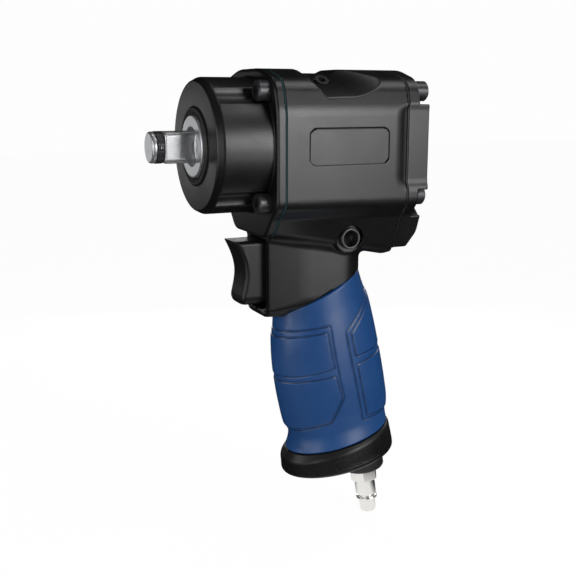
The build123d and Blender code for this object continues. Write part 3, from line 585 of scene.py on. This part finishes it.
def padHeight(degrees, w):
    # how far the surface stands off the plain grip
    height = np.zeros(w.shape)
    line = np.full(w.shape, 1e9)
    for pads, turn in ((grip["frontPads"], degrees), (grip["rearPads"], 180 - degrees)):
        arc = aroundArc(turn)
        for level, pad in enumerate(pads):
            corners = [(float(aroundArc(d)), b) for d, b in pad]
            gap = profile(arc, w, rounded(corners, [grip["cornerR"]] * (len(corners) - 2), 5))
            rise = np.clip(0.5 - gap / grip["edge"], 0, 1)
            rise = rise * rise * (3 - 2 * rise)
            height += rise * (grip["rim"] if level == 0 else grip["pad"])
            line = np.minimum(line, np.abs(gap + grip["grooveIn"]))
    dip = np.clip(1 - (line / grip["grooveHalf"]) ** 2, 0, 1)
    return height - grip["groove"] * dip, dip


def gripMesh():
    turns, rows = grip["around"], grip["down"]
    angle = np.linspace(0, 2 * math.pi, turns, endpoint=False)[None, :]
    share = np.linspace(0, 1, rows)[:, None]
    ends = []
    for start, slant in grip["ends"]:
        end = np.full((1, turns), start)
        for _ in range(6):  # a slanted end is reached in steps, as the section changes along the handle
            centre, length = gripSection(end)[:2]
            end = start + np.tan(math.radians(slant)) * (centre + length * np.cos(angle))
        ends.append(end)
    top, bottom = ends
    w = top + share * (bottom - top)
    centre, length, width = gripSection(w)
    degrees = np.abs(np.degrees((angle + math.pi) % (2 * math.pi) - math.pi)) + 0 * w
    height, dip = padHeight(degrees.ravel(), w.ravel())
    off = height.reshape(w.shape) - grip["sink"]
    fade = np.clip((w - top) / grip["fade"][0], 0, 1) * np.clip((bottom - w) / grip["fade"][1], 0, 1)
    off = np.where(off < 0, off * fade, off)
    lip = grip["lip"]
    for gap in (w - top, bottom - w):  # both ends are rounded over
        deep = np.clip(lip - gap, 0, lip)
        off = off - (lip - np.sqrt(np.maximum(lip ** 2 - deep ** 2, 0)))
    outer = fromHandle(centre + (length + off) * np.cos(angle), (width + off) * np.sin(angle), w)
    coreAt = np.concatenate(ends)
    upper, lower = grip["core"]
    grow = (coreAt - upper[0]) / (lower[0] - upper[0])
    centre, length, width = [upper[i] + grow * (lower[i] - upper[i]) for i in (1, 2, 3)]
    inner = fromHandle(centre + length * np.cos(angle), width * np.sin(angle), coreAt)
    grid = np.concatenate([inner[:1], outer, inner[1:]])
    here = np.arange(len(grid) * turns).reshape(-1, turns)
    below = np.roll(here, -1, 0)
    faces = np.stack([here, below, np.roll(below, -1, 1), np.roll(here, -1, 1)], -1)
    mesh = meshOf("gripSleeve", grid.reshape(-1, 3), faces.reshape(-1, 4))
    plain = np.zeros(turns)
    # painted shade: the grooves' depth says where the rubber's colour is darkened
    mark = mesh.attributes.new("mouldLine", "FLOAT", "POINT")
    mark.data.foreach_set("value", np.concatenate([plain, dip, plain]))
    return mesh


addPiece(gripMesh(), "blue_rubber", "housing", "grip_sleeve")
print("grip made")

trigger = {"backX": -31.0, "half": 7.5, "top": -39.8, "bottom": -68.4, "heelR": 5.0, "edge": 1.9,
           "step": 0.4, "box": ((-32, -9, -70), (-14, 9, -38)),
           # the finger face, as z and x, drawn as a smooth curve
           "faceSteps": 25,
           "face": [(-39.8, -16.0), (-44.5, -18.3), (-49.0, -19.9), (-53.5, -20.6), (-58.5, -20.1), (-63.4, -19.0)],
           "toe": [(-65.2, -18.75), (-66.7, -18.95), (-67.8, -19.7), (-68.4, -21.2)]}
stationsZ, stationsX = zip(*trigger["face"][::-1])
faceZ = np.linspace(stationsZ[0], stationsZ[-1], trigger["faceSteps"])[::-1]
faceLine = [*zip(faceZ, curveThrough(stationsZ, stationsX, faceZ)), *trigger["toe"]]
triggerLine = [(0, trigger["top"]), *((b - trigger["backX"], a) for a, b in faceLine), (0, trigger["bottom"])]


def triggerField(x, y, z):
    c = trigger
    blade = profile(x - c["backX"], z, triggerLine)
    width = overlap(np.abs(y) - c["half"], c["bottom"] - z, c["heelR"])
    return np.maximum(overlap(blade, width, c["edge"]), c["backX"] - x)


addPiece(castMesh("triggerBlade", triggerField, trigger), "black_plastic", "trigger", "trigger")


def alongHandle(points):
    # the grid's axes are u, y and -w here
    return fromHandle(points[:, 0], points[:, 1], -points[:, 2])


baseCap = {"centre": 2.0, "half": (28.1, 20.9), "slant": 3.0, "wall": 5.6, "floorW": 57.0, "cavityU": -12.0,
           "bottomW": 62.2, "gripFoot": (1.0, 25.8, 18.9), "topW": 50.2, "bevel": 1.2, "flare": 0.07, "flareW": 60,
           "panelU": (-10, 12), "panelW": (55.3, 59.2), "panelDepth": 0.8,
           "slots": 4, "slotWide": 2.4, "slotU": (3.0, 23.0), "slotPitch": 4.6, "slotRise": 2,
           "inletU": -10.5, "flangeR": 10.2, "flangeW": 59.4, "bushR": 8.0, "bushWall": 2,
           "step": 0.45, "box": ((-27.3, -22, -64), (32.2, 22, -47.5))}


def baseField(x, y, z):
    c = baseCap
    u, w = toHandle(x, z)
    slant = math.radians(c["slant"])
    level, ahead = w - u * math.tan(slant), u / math.cos(slant)
    rim = ellipse(ahead - c["centre"], y, *c["half"])
    toInlet = np.hypot(u - c["inletU"], y)
    foot, footHalf = c["gripFoot"][0], c["gripFoot"][1:]
    bevel = c["topW"] + c["bevel"] * np.maximum(ellipse(ahead - foot, y, *footHalf), 0) - level
    wall = rim + c["flare"] * np.maximum(c["flareW"] - level, 0)
    shape = overlap(wall, bevel / math.hypot(1, c["bevel"]), 0.5)
    shape = overlap(shape, w - c["bottomW"], 1.7)
    cavity = overlap(overlap(rim + c["wall"], c["cavityU"] - u, 1.0), level - c["floorW"], 0.6)
    shape = carve(shape, overlap(cavity, c["bushR"] + c["bushWall"] - toInlet, 1.0), 0.3)
    for i in range(c["slots"]):
        v = c["slotPitch"] * (i - (c["slots"] - 1) / 2)
        slot = plate(ahead, y, c["slotU"], (v - c["slotWide"] / 2, v + c["slotWide"] / 2), c["slotWide"] / 2)
        shape = carve(shape, np.maximum(slot, c["floorW"] - c["slotRise"] - level), 0.4)
    panel = np.maximum(plate(u, w, c["panelU"], c["panelW"], 0.6), -c["panelDepth"] - wall)
    shape = carve(shape, panel, 0.3)
    shape = carve(shape, np.maximum(toInlet - c["flangeR"], c["flangeW"] - w), 0.2)
    return carve(shape, toInlet - c["bushR"], 0.2)


addPiece(castMesh("baseCap", baseField, baseCap, alongHandle), "black_plastic", "housing", "base_cap")

inletBush = {"line": [(8.0, 40.0), (8.0, 59.4), (10.2, 59.4), (10.2, 71.9), (0, 71.9), (0, 40.0), (8.0, 40.0)],
             "lineR": [0, 0, 0.9, 0, 0], "airR": 4.5, "airW": 62, "seatR": 6.2, "seatW": 61.5,
             "step": 0.4, "box": ((-22, -11.5, -73), (1, 11.5, -39))}
bushLine = rounded(inletBush["line"], inletBush["lineR"])


def bushField(x, y, z):
    c = inletBush
    u, w = toHandle(x, z)
    radius = np.hypot(u - baseCap["inletU"], y)
    bore = np.minimum(np.maximum(radius - c["airR"], w - c["airW"]), np.maximum(radius - c["seatR"], c["seatW"] - w))
    return carve(profile(radius, w, bushLine), bore, 0.3)


addPiece(castMesh("inletBush", bushField, inletBush, alongHandle), "anodised_aluminium", "housing", "inlet_bush")

airPlug = {"line": [(0, 61.5), (6.2, 61.5), (6.2, 73.0), (4.9, 73.0), (4.9, 86.6), (3.7, 87.0), (3.7, 87.6),
                    (5.05, 88.1), (5.05, 89.5), (3.9, 90.2), (3.9, 95.8), (0, 95.8)],
           "lineR": [0.3, 0, 0, 0.5, 0.2, 0.2, 0.6, 0.6, 0.4, 0.7], "hex": 12.0,
           "hexLine": [(0, 71.9), (6.3, 71.9), (7.0, 72.4), (7.0, 78.1), (6.3, 78.6), (0, 78.6)],
           "boreR": 2.6, "step": 0.26, "box": ((-18.5, -8, -97), (-2.5, 8, -60.5))}
plugLine = rounded(airPlug["line"], airPlug["lineR"], 8)


def plugField(x, y, z):
    u, w = toHandle(x, z)
    u = u - baseCap["inletU"]
    radius = np.hypot(u, y)
    nut = overlap(hexagon(u, y, airPlug["hex"]), profile(radius, w, airPlug["hexLine"]), 0.2)
    shape = unite(profile(radius, w, plugLine), nut, 0.3)
    return carve(shape, radius - airPlug["boreR"], 0.4)


addPiece(castMesh("airPlug", plugField, airPlug, alongHandle), "nickel_plate", "housing", "air_plug")

anvil = {"tip": [(0, 17.95), (6.35, 17.95), (6.35, 16.0), (4.3, 16.0), (4.3, 12.0), (0, 12.0)],
         "tipR": [0.8, 0.35, 0.1, 0], "size": 12.7, "cornerR": 8.2, "frontX": 12.8,
         "shaft": [(0, 1.6), (6.2, 1.6), (6.8, 0.4), (8.2, 0), (12.8, 0), (12.8, -9.05), (13.8, -9.05), (13.8, -10.8),
                   (7.6, -10.8), (7.6, -23.0), (3.0, -23.0), (3.0, -27.5), (0, -27.5)],
         "shaftR": [0.3, 1.2, 0.5, 0.6, 0, 0.2, 0.2, 0.5, 0.2, 0.2, 0.4],
         "jawR": 10.4, "jawHalf": 4.0, "jawX": (-23.0, -14.5),
         "step": 0.3, "box": ((-28.5, -14.8, -14.8), (19, 14.8, 14.8))}
tipLine, shaftLine = rounded(anvil["tip"], anvil["tipR"], 6), rounded(anvil["shaft"], anvil["shaftR"], 6)


def anvilField(x, y, z):
    c = anvil
    radius = np.hypot(y, z)
    half = c["size"] / 2
    square = overlap(plate(y, z, (-half, half), (-half, half), 0.5), radius - c["cornerR"], 0.5)
    square = overlap(square, between(x, 0, c["frontX"]), 0.5)
    shape = np.minimum(profile(radius, x, tipLine), square)
    shape = unite(shape, profile(radius, x, shaftLine), 0.5)
    jaws = np.maximum(overlap(radius - c["jawR"], np.abs(y) - c["jawHalf"], 0.6), between(x, *c["jawX"]))
    return np.minimum(shape, jaws)


addPiece(castMesh("squareAnvil", anvilField, anvil), "machined_steel", "anvil", "anvil")

frictionRing = {"x": (12.9, 15.9), "r": (5.5, 6.5), "split": 1.8,
                "step": 0.2, "box": ((12.3, -7.2, -7.2), (16.5, 7.2, 7.2))}


def frictionField(x, y, z):
    c = frictionRing
    shape = plate(np.hypot(y, z), x, c["r"], c["x"], 0.3)
    return carve(shape, np.maximum(np.abs(z) - c["split"] / 2, -y), 0.2)


addPiece(castMesh("frictionRing", frictionField, frictionRing), "black_oxide_steel", "anvil", "friction_ring")

noseSeal = {"x": (-4.0, -0.7), "r": (13.1, 16.0), "grooveR": 14.2, "grooveOut": 0.15, "grooveHalf": 0.5,
            "step": 0.3, "box": ((-4.6, -16.8, -16.8), (0, 16.8, 16.8))}


def sealField(x, y, z):
    c = noseSeal
    radius = np.hypot(y, z)
    shape = plate(radius, x, c["r"], c["x"], 0.7)
    return carve(shape, np.hypot(radius - c["grooveR"], x - c["x"][1] - c["grooveOut"]) - c["grooveHalf"], 0.2)


addPiece(castMesh("noseSeal", sealField, noseSeal), "black_rubber", "housing", "nose_seal")

spool = {"ends": (-14.4, 19.4), "r": 4.65, "hollowR": 3.45, "hollow": 5.0, "pointSlope": 0.6, "waistR": 3.0,
         "waist": (-2.0, 7.0), "step": 0.28, "box": ((-70.2, -15.5, -45.3), (-59, 20.5, -34))}


def spoolField(x, y, z):
    c = spool
    radius = np.hypot(x - housing["reverse"][0], z - housing["reverse"][1])
    shape = plate(radius, y, (-c["r"], c["r"]), c["ends"], 0.5)
    point = c["hollow"] + c["pointSlope"] * (c["hollowR"] - radius)
    hollows = np.minimum(c["ends"][1] - point - y, y - c["ends"][0] - point)
    shape = carve(shape, np.maximum(radius - c["hollowR"], hollows), 0.35)
    return carve(shape, np.maximum(c["waistR"] - radius, between(y, *c["waist"])), 0.3)


addPiece(castMesh("reverseSpool", spoolField, spool), "black_oxide_steel", "reverse", "reverse_spool")
print("small parts made")


# Screws and spring grow from Geometry Nodes trees, whose measures are in metres.
def growInputs(tree, measures):
    kinds = dict.fromkeys(measures, "NodeSocketFloat")
    kinds.update({"Seat": "NodeSocketVector", "Turn": "NodeSocketRotation", "Finish": "NodeSocketMaterial"})
    found = {}
    for name, kind in kinds.items():
        found[name] = tree.interface.new_socket(name, in_out="INPUT", socket_type=kind).identifier
    tree.interface.new_socket("Geometry", in_out="OUTPUT", socket_type="NodeSocketGeometry")
    return found


def endTree(tree, given, geometry):
    aimed = addNode(tree, "GeometryNodeTransform", {
        "Geometry": geometry, "Translation": given["Seat"], "Rotation": given["Turn"]})
    real = addNode(tree, "GeometryNodeRealizeInstances", {"Geometry": aimed.outputs[0]})
    coloured = addNode(tree, "GeometryNodeSetMaterial", {"Geometry": real.outputs[0], "Material": given["Finish"]})
    addNode(tree, "NodeGroupOutput", {"Geometry": coloured.outputs[0]})


def socketValues(sockets, sizes, seat, aim, slot):
    values = {sockets[name]: size * mm for name, size in sizes.items()}
    values[sockets["Seat"]] = tuple(v * mm for v in seat)
    values[sockets["Turn"]] = tuple(aim)
    values[sockets["Finish"]] = finishes[slot]
    return values


def grown(name, tree, values):
    # a plain mesh from the tree, with its inputs set before it is first evaluated
    holder = bpy.data.objects.new(name + "Holder", bpy.data.meshes.new(name + "Holder"))
    modifier = holder.modifiers.new(name, "NODES")
    modifier.node_group = tree
    for identifier, value in values.items():
        modifier[identifier] = value
    scene.collection.objects.link(holder)
    graph = bpy.context.evaluated_depsgraph_get()
    mesh = bpy.data.meshes.new_from_object(holder.evaluated_get(graph))
    holder.modifiers.remove(modifier)
    bpy.data.objects.remove(holder)
    mesh.name = name
    mesh.polygons.foreach_set("use_smooth", [True] * len(mesh.polygons))
    mesh.set_sharp_from_angle(angle=math.radians(35))
    print("  grew", name, len(mesh.polygons), "faces")
    return mesh


# Socket-head screws: one tree sets a screw at each corner of the bolt pattern.
screws = {"Head radius": 4.25, "Head height": 5.0, "Edge": 0.55, "Socket": 4.0, "Socket depth": 2.6,
          "Shank radius": 2.5, "Shank length": 16.0, "Spread across": 2 * boltY, "Spread up": 2 * boltZ}
screwTree = bpy.data.node_groups.new("socketScrewPattern", "GeometryNodeTree")
screwSockets = growInputs(screwTree, screws)
given = addNode(screwTree, "NodeGroupInput").outputs


def screwMath(operation, *values):
    return mathNode(screwTree, operation, *values)


def lifted(part, height):
    move = addNode(screwTree, "ShaderNodeCombineXYZ", {"Z": height})
    return addNode(screwTree, "GeometryNodeTransform", {
        "Geometry": part.outputs[0], "Translation": move.outputs[0]}).outputs[0]


# The head is a bar with a middle ring of points: that ring moves up to the edge, and the top ring moves in.
halfHead = screwMath("MULTIPLY", given["Head height"], 0.5)
lowHead = screwMath("MULTIPLY", given["Head height"], -0.5)
hexRadius = screwMath("MULTIPLY", given["Socket"], 1 / math.sqrt(3))
hexDepth = screwMath("MULTIPLY", given["Socket depth"], 2.0)
bar = addNode(screwTree, "GeometryNodeMeshCylinder", {
    "Vertices": 64, "Side Segments": 2, "Radius": given["Head radius"], "Depth": given["Head height"]})
position = addNode(screwTree, "GeometryNodeInputPosition")
spot = addNode(screwTree, "ShaderNodeSeparateXYZ", {0: position.outputs[0]}).outputs
isTop = addNode(screwTree, "ShaderNodeMapRange", {"Value": spot["Z"], "From Max": halfHead}).outputs[0]
notFoot = addNode(screwTree, "ShaderNodeMapRange", {
    "Value": spot["Z"], "From Min": lowHead, "From Max": 0.0}).outputs[0]
inward = screwMath("DIVIDE", given["Edge"], screwMath("MULTIPLY", given["Head radius"], -1.0))
pinch = screwMath("MULTIPLY", isTop, inward)
rise = screwMath("MULTIPLY", screwMath("SUBTRACT", notFoot, isTop), screwMath("SUBTRACT", halfHead, given["Edge"]))
shift = addNode(screwTree, "ShaderNodeCombineXYZ", {
    "X": screwMath("MULTIPLY", spot["X"], pinch), "Y": screwMath("MULTIPLY", spot["Y"], pinch), "Z": rise})
edged = addNode(screwTree, "GeometryNodeSetPosition", {"Geometry": bar.outputs["Mesh"], "Offset": shift.outputs[0]})
# The shank starts a millimetre inside the head.
shank = addNode(screwTree, "GeometryNodeMeshCylinder", {
    "Vertices": 64, "Radius": given["Shank radius"], "Depth": screwMath("ADD", given["Shank length"], mm)})
shankLift = screwMath("MULTIPLY_ADD", given["Shank length"], -0.5, mm / 2)
solid = addNode(screwTree, "GeometryNodeMeshBoolean", operation="UNION")
for part, lift in ((edged, halfHead), (shank, shankLift)):
    screwTree.links.new(lifted(part, lift), solid.inputs["Mesh 2"])
socket = addNode(screwTree, "GeometryNodeMeshCylinder", {"Vertices": 6, "Radius": hexRadius, "Depth": hexDepth})
drilled = addNode(screwTree, "GeometryNodeMeshBoolean", {
    "Mesh 1": solid.outputs[0], "Mesh 2": lifted(socket, given["Head height"])}, operation="DIFFERENCE")
pattern = addNode(screwTree, "GeometryNodeMeshGrid", {
    "Size X": given["Spread across"], "Size Y": given["Spread up"], "Vertices X": 2, "Vertices Y": 2})
placed = addNode(screwTree, "GeometryNodeInstanceOnPoints", {
    "Points": pattern.outputs["Mesh"], "Instance": drilled.outputs[0]})
endTree(screwTree, given, placed.outputs[0])

forward = Matrix(((0, 0, 1), (1, 0, 0), (0, 1, 0))).to_euler()
backward = Matrix(((0, 0, -1), (1, 0, 0), (0, -1, 0))).to_euler()
screwRows = [("caseScrews", -25.2, forward, "case_bolts"), ("coverScrews", -94.1, backward, "cover_bolts")]
for name, seatX, aim, node in screwRows:
    values = socketValues(screwSockets, screws, (seatX, 0, 0), aim, "black_oxide_steel")
    addPiece(grown(name, screwTree, values), "black_oxide_steel", "housing", node)

# Throttle spring: a wire swept along a spiral, drawn at rest; travel is how far it shortens when the trigger is
# pulled.
spring = {"sizes": {"Radius": 3.6, "Length": 13.0, "Wire": 0.45}, "turns": 5.0, "seat": (-67.5, 0, -53.0),
          "travel": 6.0}
springTree = bpy.data.node_groups.new("coilSpring", "GeometryNodeTree")
springSockets = growInputs(springTree, ["Turns", *spring["sizes"]])
given = addNode(springTree, "NodeGroupInput").outputs
spiral = addNode(springTree, "GeometryNodeCurveSpiral", {
    "Resolution": 32, "Rotations": given["Turns"], "Start Radius": given["Radius"], "End Radius": given["Radius"],
    "Height": given["Length"]})
wire = addNode(springTree, "GeometryNodeCurvePrimitiveCircle", {"Resolution": 12, "Radius": given["Wire"]})
swept = addNode(springTree, "GeometryNodeCurveToMesh", {
    "Curve": spiral.outputs[0], "Profile Curve": wire.outputs[0], "Fill Caps": True})
endTree(springTree, given, swept.outputs[0])
values = socketValues(springSockets, spring["sizes"], spring["seat"], forward, "machined_steel")
values[springSockets["Turns"]] = spring["turns"]
springPiece = addPiece(grown("throttleSpring", springTree, values), "machined_steel", "housing", "throttle_spring")
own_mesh(springPiece)
print("screws and spring grown")

scene.view_settings.view_transform = "Standard"
camera = {"place": (118.516, 344.240, 19.299), "right": (-0.904509, 0.426454, -0.000326),
          "up": (-0.090584, -0.191382, 0.977327), "back": (0.416723, 0.884030, 0.211737), "lens": 54.751}
cameraData = bpy.data.cameras.new("photoCamera")
cameraData.sensor_width = 36
cameraData.lens = camera["lens"]
cameraData.clip_start, cameraData.clip_end = 0.01, 20
cameraObject = bpy.data.objects.new("photoCamera", cameraData)
turn = Matrix((camera["right"], camera["up"], camera["back"])).transposed().to_4x4()
cameraObject.matrix_world = Matrix.Translation(Vector(camera["place"]) * mm) @ turn
scene.collection.objects.link(cameraObject)
scene.camera = cameraObject

# Sizes of the floor are in metres. Gloss is how bright the white paper looks in a reflection.
stage = {"floorSize": 6.0, "floorGap": 0.0002, "white": "#ffffff", "paper": "#ececec", "worldLight": 0.45,
         "worldGloss": 0.006, "backdrop": 0.985, "floorGlow": 0.96, "floorGloss": 0.015}
# The camera sees white paper. Reflections see it dark, apart from two bright patches for the plug and the grip:
# place and radius in millimetres, and strength.
pools = [((-74, 20), 58, 1.0), ((-215, 310), 160, 0.45)]
floorMesh = bpy.data.meshes.new("floor")
far = stage["floorSize"] / 2
floorMesh.from_pydata([(-far, -far, 0), (far, -far, 0), (far, far, 0), (-far, far, 0)], [], [(0, 1, 2, 3)])
floorMesh.transform(Matrix.Translation((0, 0, cadBox[0].z - stage["floorGap"])))
floor = bpy.data.objects.new("floor", floorMesh)
scene.collection.objects.link(floor)
# floorGlow is how much of what the camera sees is plain white. The rest is lit paper, which takes the shadow.
floorMaterial = bpy.data.materials.new("palePaperSweep")
floorMaterial.use_nodes = True
floorTree = floorMaterial.node_tree
floorTree.nodes.clear()
floorDiffuse = addNode(floorTree, "ShaderNodeBsdfDiffuse", {"Color": linear(stage["paper"])})
floorRay = addNode(floorTree, "ShaderNodeLightPath").outputs
floorCoords = addNode(floorTree, "ShaderNodeTexCoord").outputs["Object"]
floorDim = mathNode(floorTree, "SUBTRACT", stage["floorGloss"], 1.0)
for place, radius, gloss in pools:
    poolPlace = addNode(floorTree, "ShaderNodeMapping", {
        "Vector": floorCoords, "Location": (place[0] * mm, place[1] * mm, cadBox[0].z), "Scale": (radius * mm,) * 3},
        vector_type="TEXTURE")
    pool = addNode(floorTree, "ShaderNodeTexGradient", {"Vector": poolPlace.outputs[0]}, gradient_type="SPHERICAL")
    patch = addNode(floorTree, "ShaderNodeMapRange", {"Value": pool.outputs["Fac"], "From Max": 0.5, "To Max": gloss})
    floorDim = mathNode(floorTree, "ADD", floorDim, patch.outputs[0])
floorStrength = mathNode(floorTree, "MULTIPLY_ADD", floorRay["Is Glossy Ray"], floorDim, 1.0)
floorGlow = addNode(floorTree, "ShaderNodeEmission", {"Color": linear(stage["white"]), "Strength": floorStrength})
floorShare = mathNode(
    floorTree, "MULTIPLY_ADD", floorRay["Is Camera Ray"], stage["floorGlow"], floorRay["Is Glossy Ray"])
floorMix = addNode(floorTree, "ShaderNodeMixShader", {
    0: floorShare, 1: floorDiffuse.outputs[0], 2: floorGlow.outputs[0]})
addNode(floorTree, "ShaderNodeOutputMaterial", {"Surface": floorMix.outputs[0]})
floorMesh.materials.append(floorMaterial)

# The world lights the part softly, is white for the camera and nearly dark in reflections.
world = bpy.data.worlds.new("softStudio")
world.use_nodes = True
scene.world = world
worldTree = world.node_tree
worldTree.nodes.clear()
worldRay = addNode(worldTree, "ShaderNodeLightPath").outputs
worldSeen = mathNode(worldTree, "MAXIMUM", worldRay["Is Camera Ray"], worldRay["Is Transmission Ray"])
worldGloss = addNode(worldTree, "ShaderNodeMapRange", {
    "Value": worldRay["Is Glossy Ray"], "To Min": stage["worldLight"], "To Max": stage["worldGloss"]})
worldStrength = addNode(worldTree, "ShaderNodeMapRange", {
    "Value": worldSeen, "To Min": worldGloss.outputs[0], "To Max": stage["backdrop"]})
worldShade = addNode(worldTree, "ShaderNodeBackground", {
    "Color": linear(stage["white"]), "Strength": worldStrength.outputs[0]})
addNode(worldTree, "ShaderNodeOutputWorld", {"Surface": worldShade.outputs[0]})

# Soft boxes: place, aim and size in millimetres, and power in watts.
lamps = {
    "barrelBox": ((-215, 400, 65), (-15, 20, 0), (120, 190), 0.95),
    "sideBox": ((-355, 400, 70), (-60, 20, 0), (180, 180), 0.42),
    "lowBox": ((-225, 400, -118), (-45, 10, -50), (200, 64), 0.22),
    "frontBox": ((330, 330, 10), (-40, 0, -60), (200, 300), 0.6),
    "gripBox": ((340, 120, -148), (-45, 5, -110), (150, 50), 0.13),
    "faceBox": ((147, -440, -20), (0, 0, 0), (100, 100), 0.042),
    "topBox": ((-270, 160, 390), (-60, 10, 20), (250, 200), 0.6),
    "rampBox": ((-47, -60, 430), (-66, 24, 22), (110, 110), 0.14),
    "noseBox": ((350, -30, 30), (-40, 0, -90), (140, 140), 0.4),
    "farBox": ((-210, -420, -50), (-60, -20, -40), (360, 150), 0.9),
    "backBox": ((-470, -170, 130), (-90, 0, 0), (240, 240), 0.55),
}
for name, (place, aim, size, power) in lamps.items():
    data = bpy.data.lights.new(name, "AREA")
    data.shape = "RECTANGLE"
    data.size, data.size_y = size[0] * mm, size[1] * mm
    data.energy = power
    lampObject = bpy.data.objects.new(name, data)
    aimed = (Vector(aim) - Vector(place)).to_track_quat("-Z", "Y").to_matrix().to_4x4()
    lampObject.matrix_world = Matrix.Translation(Vector(place) * mm) @ aimed
    lampObject.visible_camera = False
    scene.collection.objects.link(lampObject)
print("stage set")
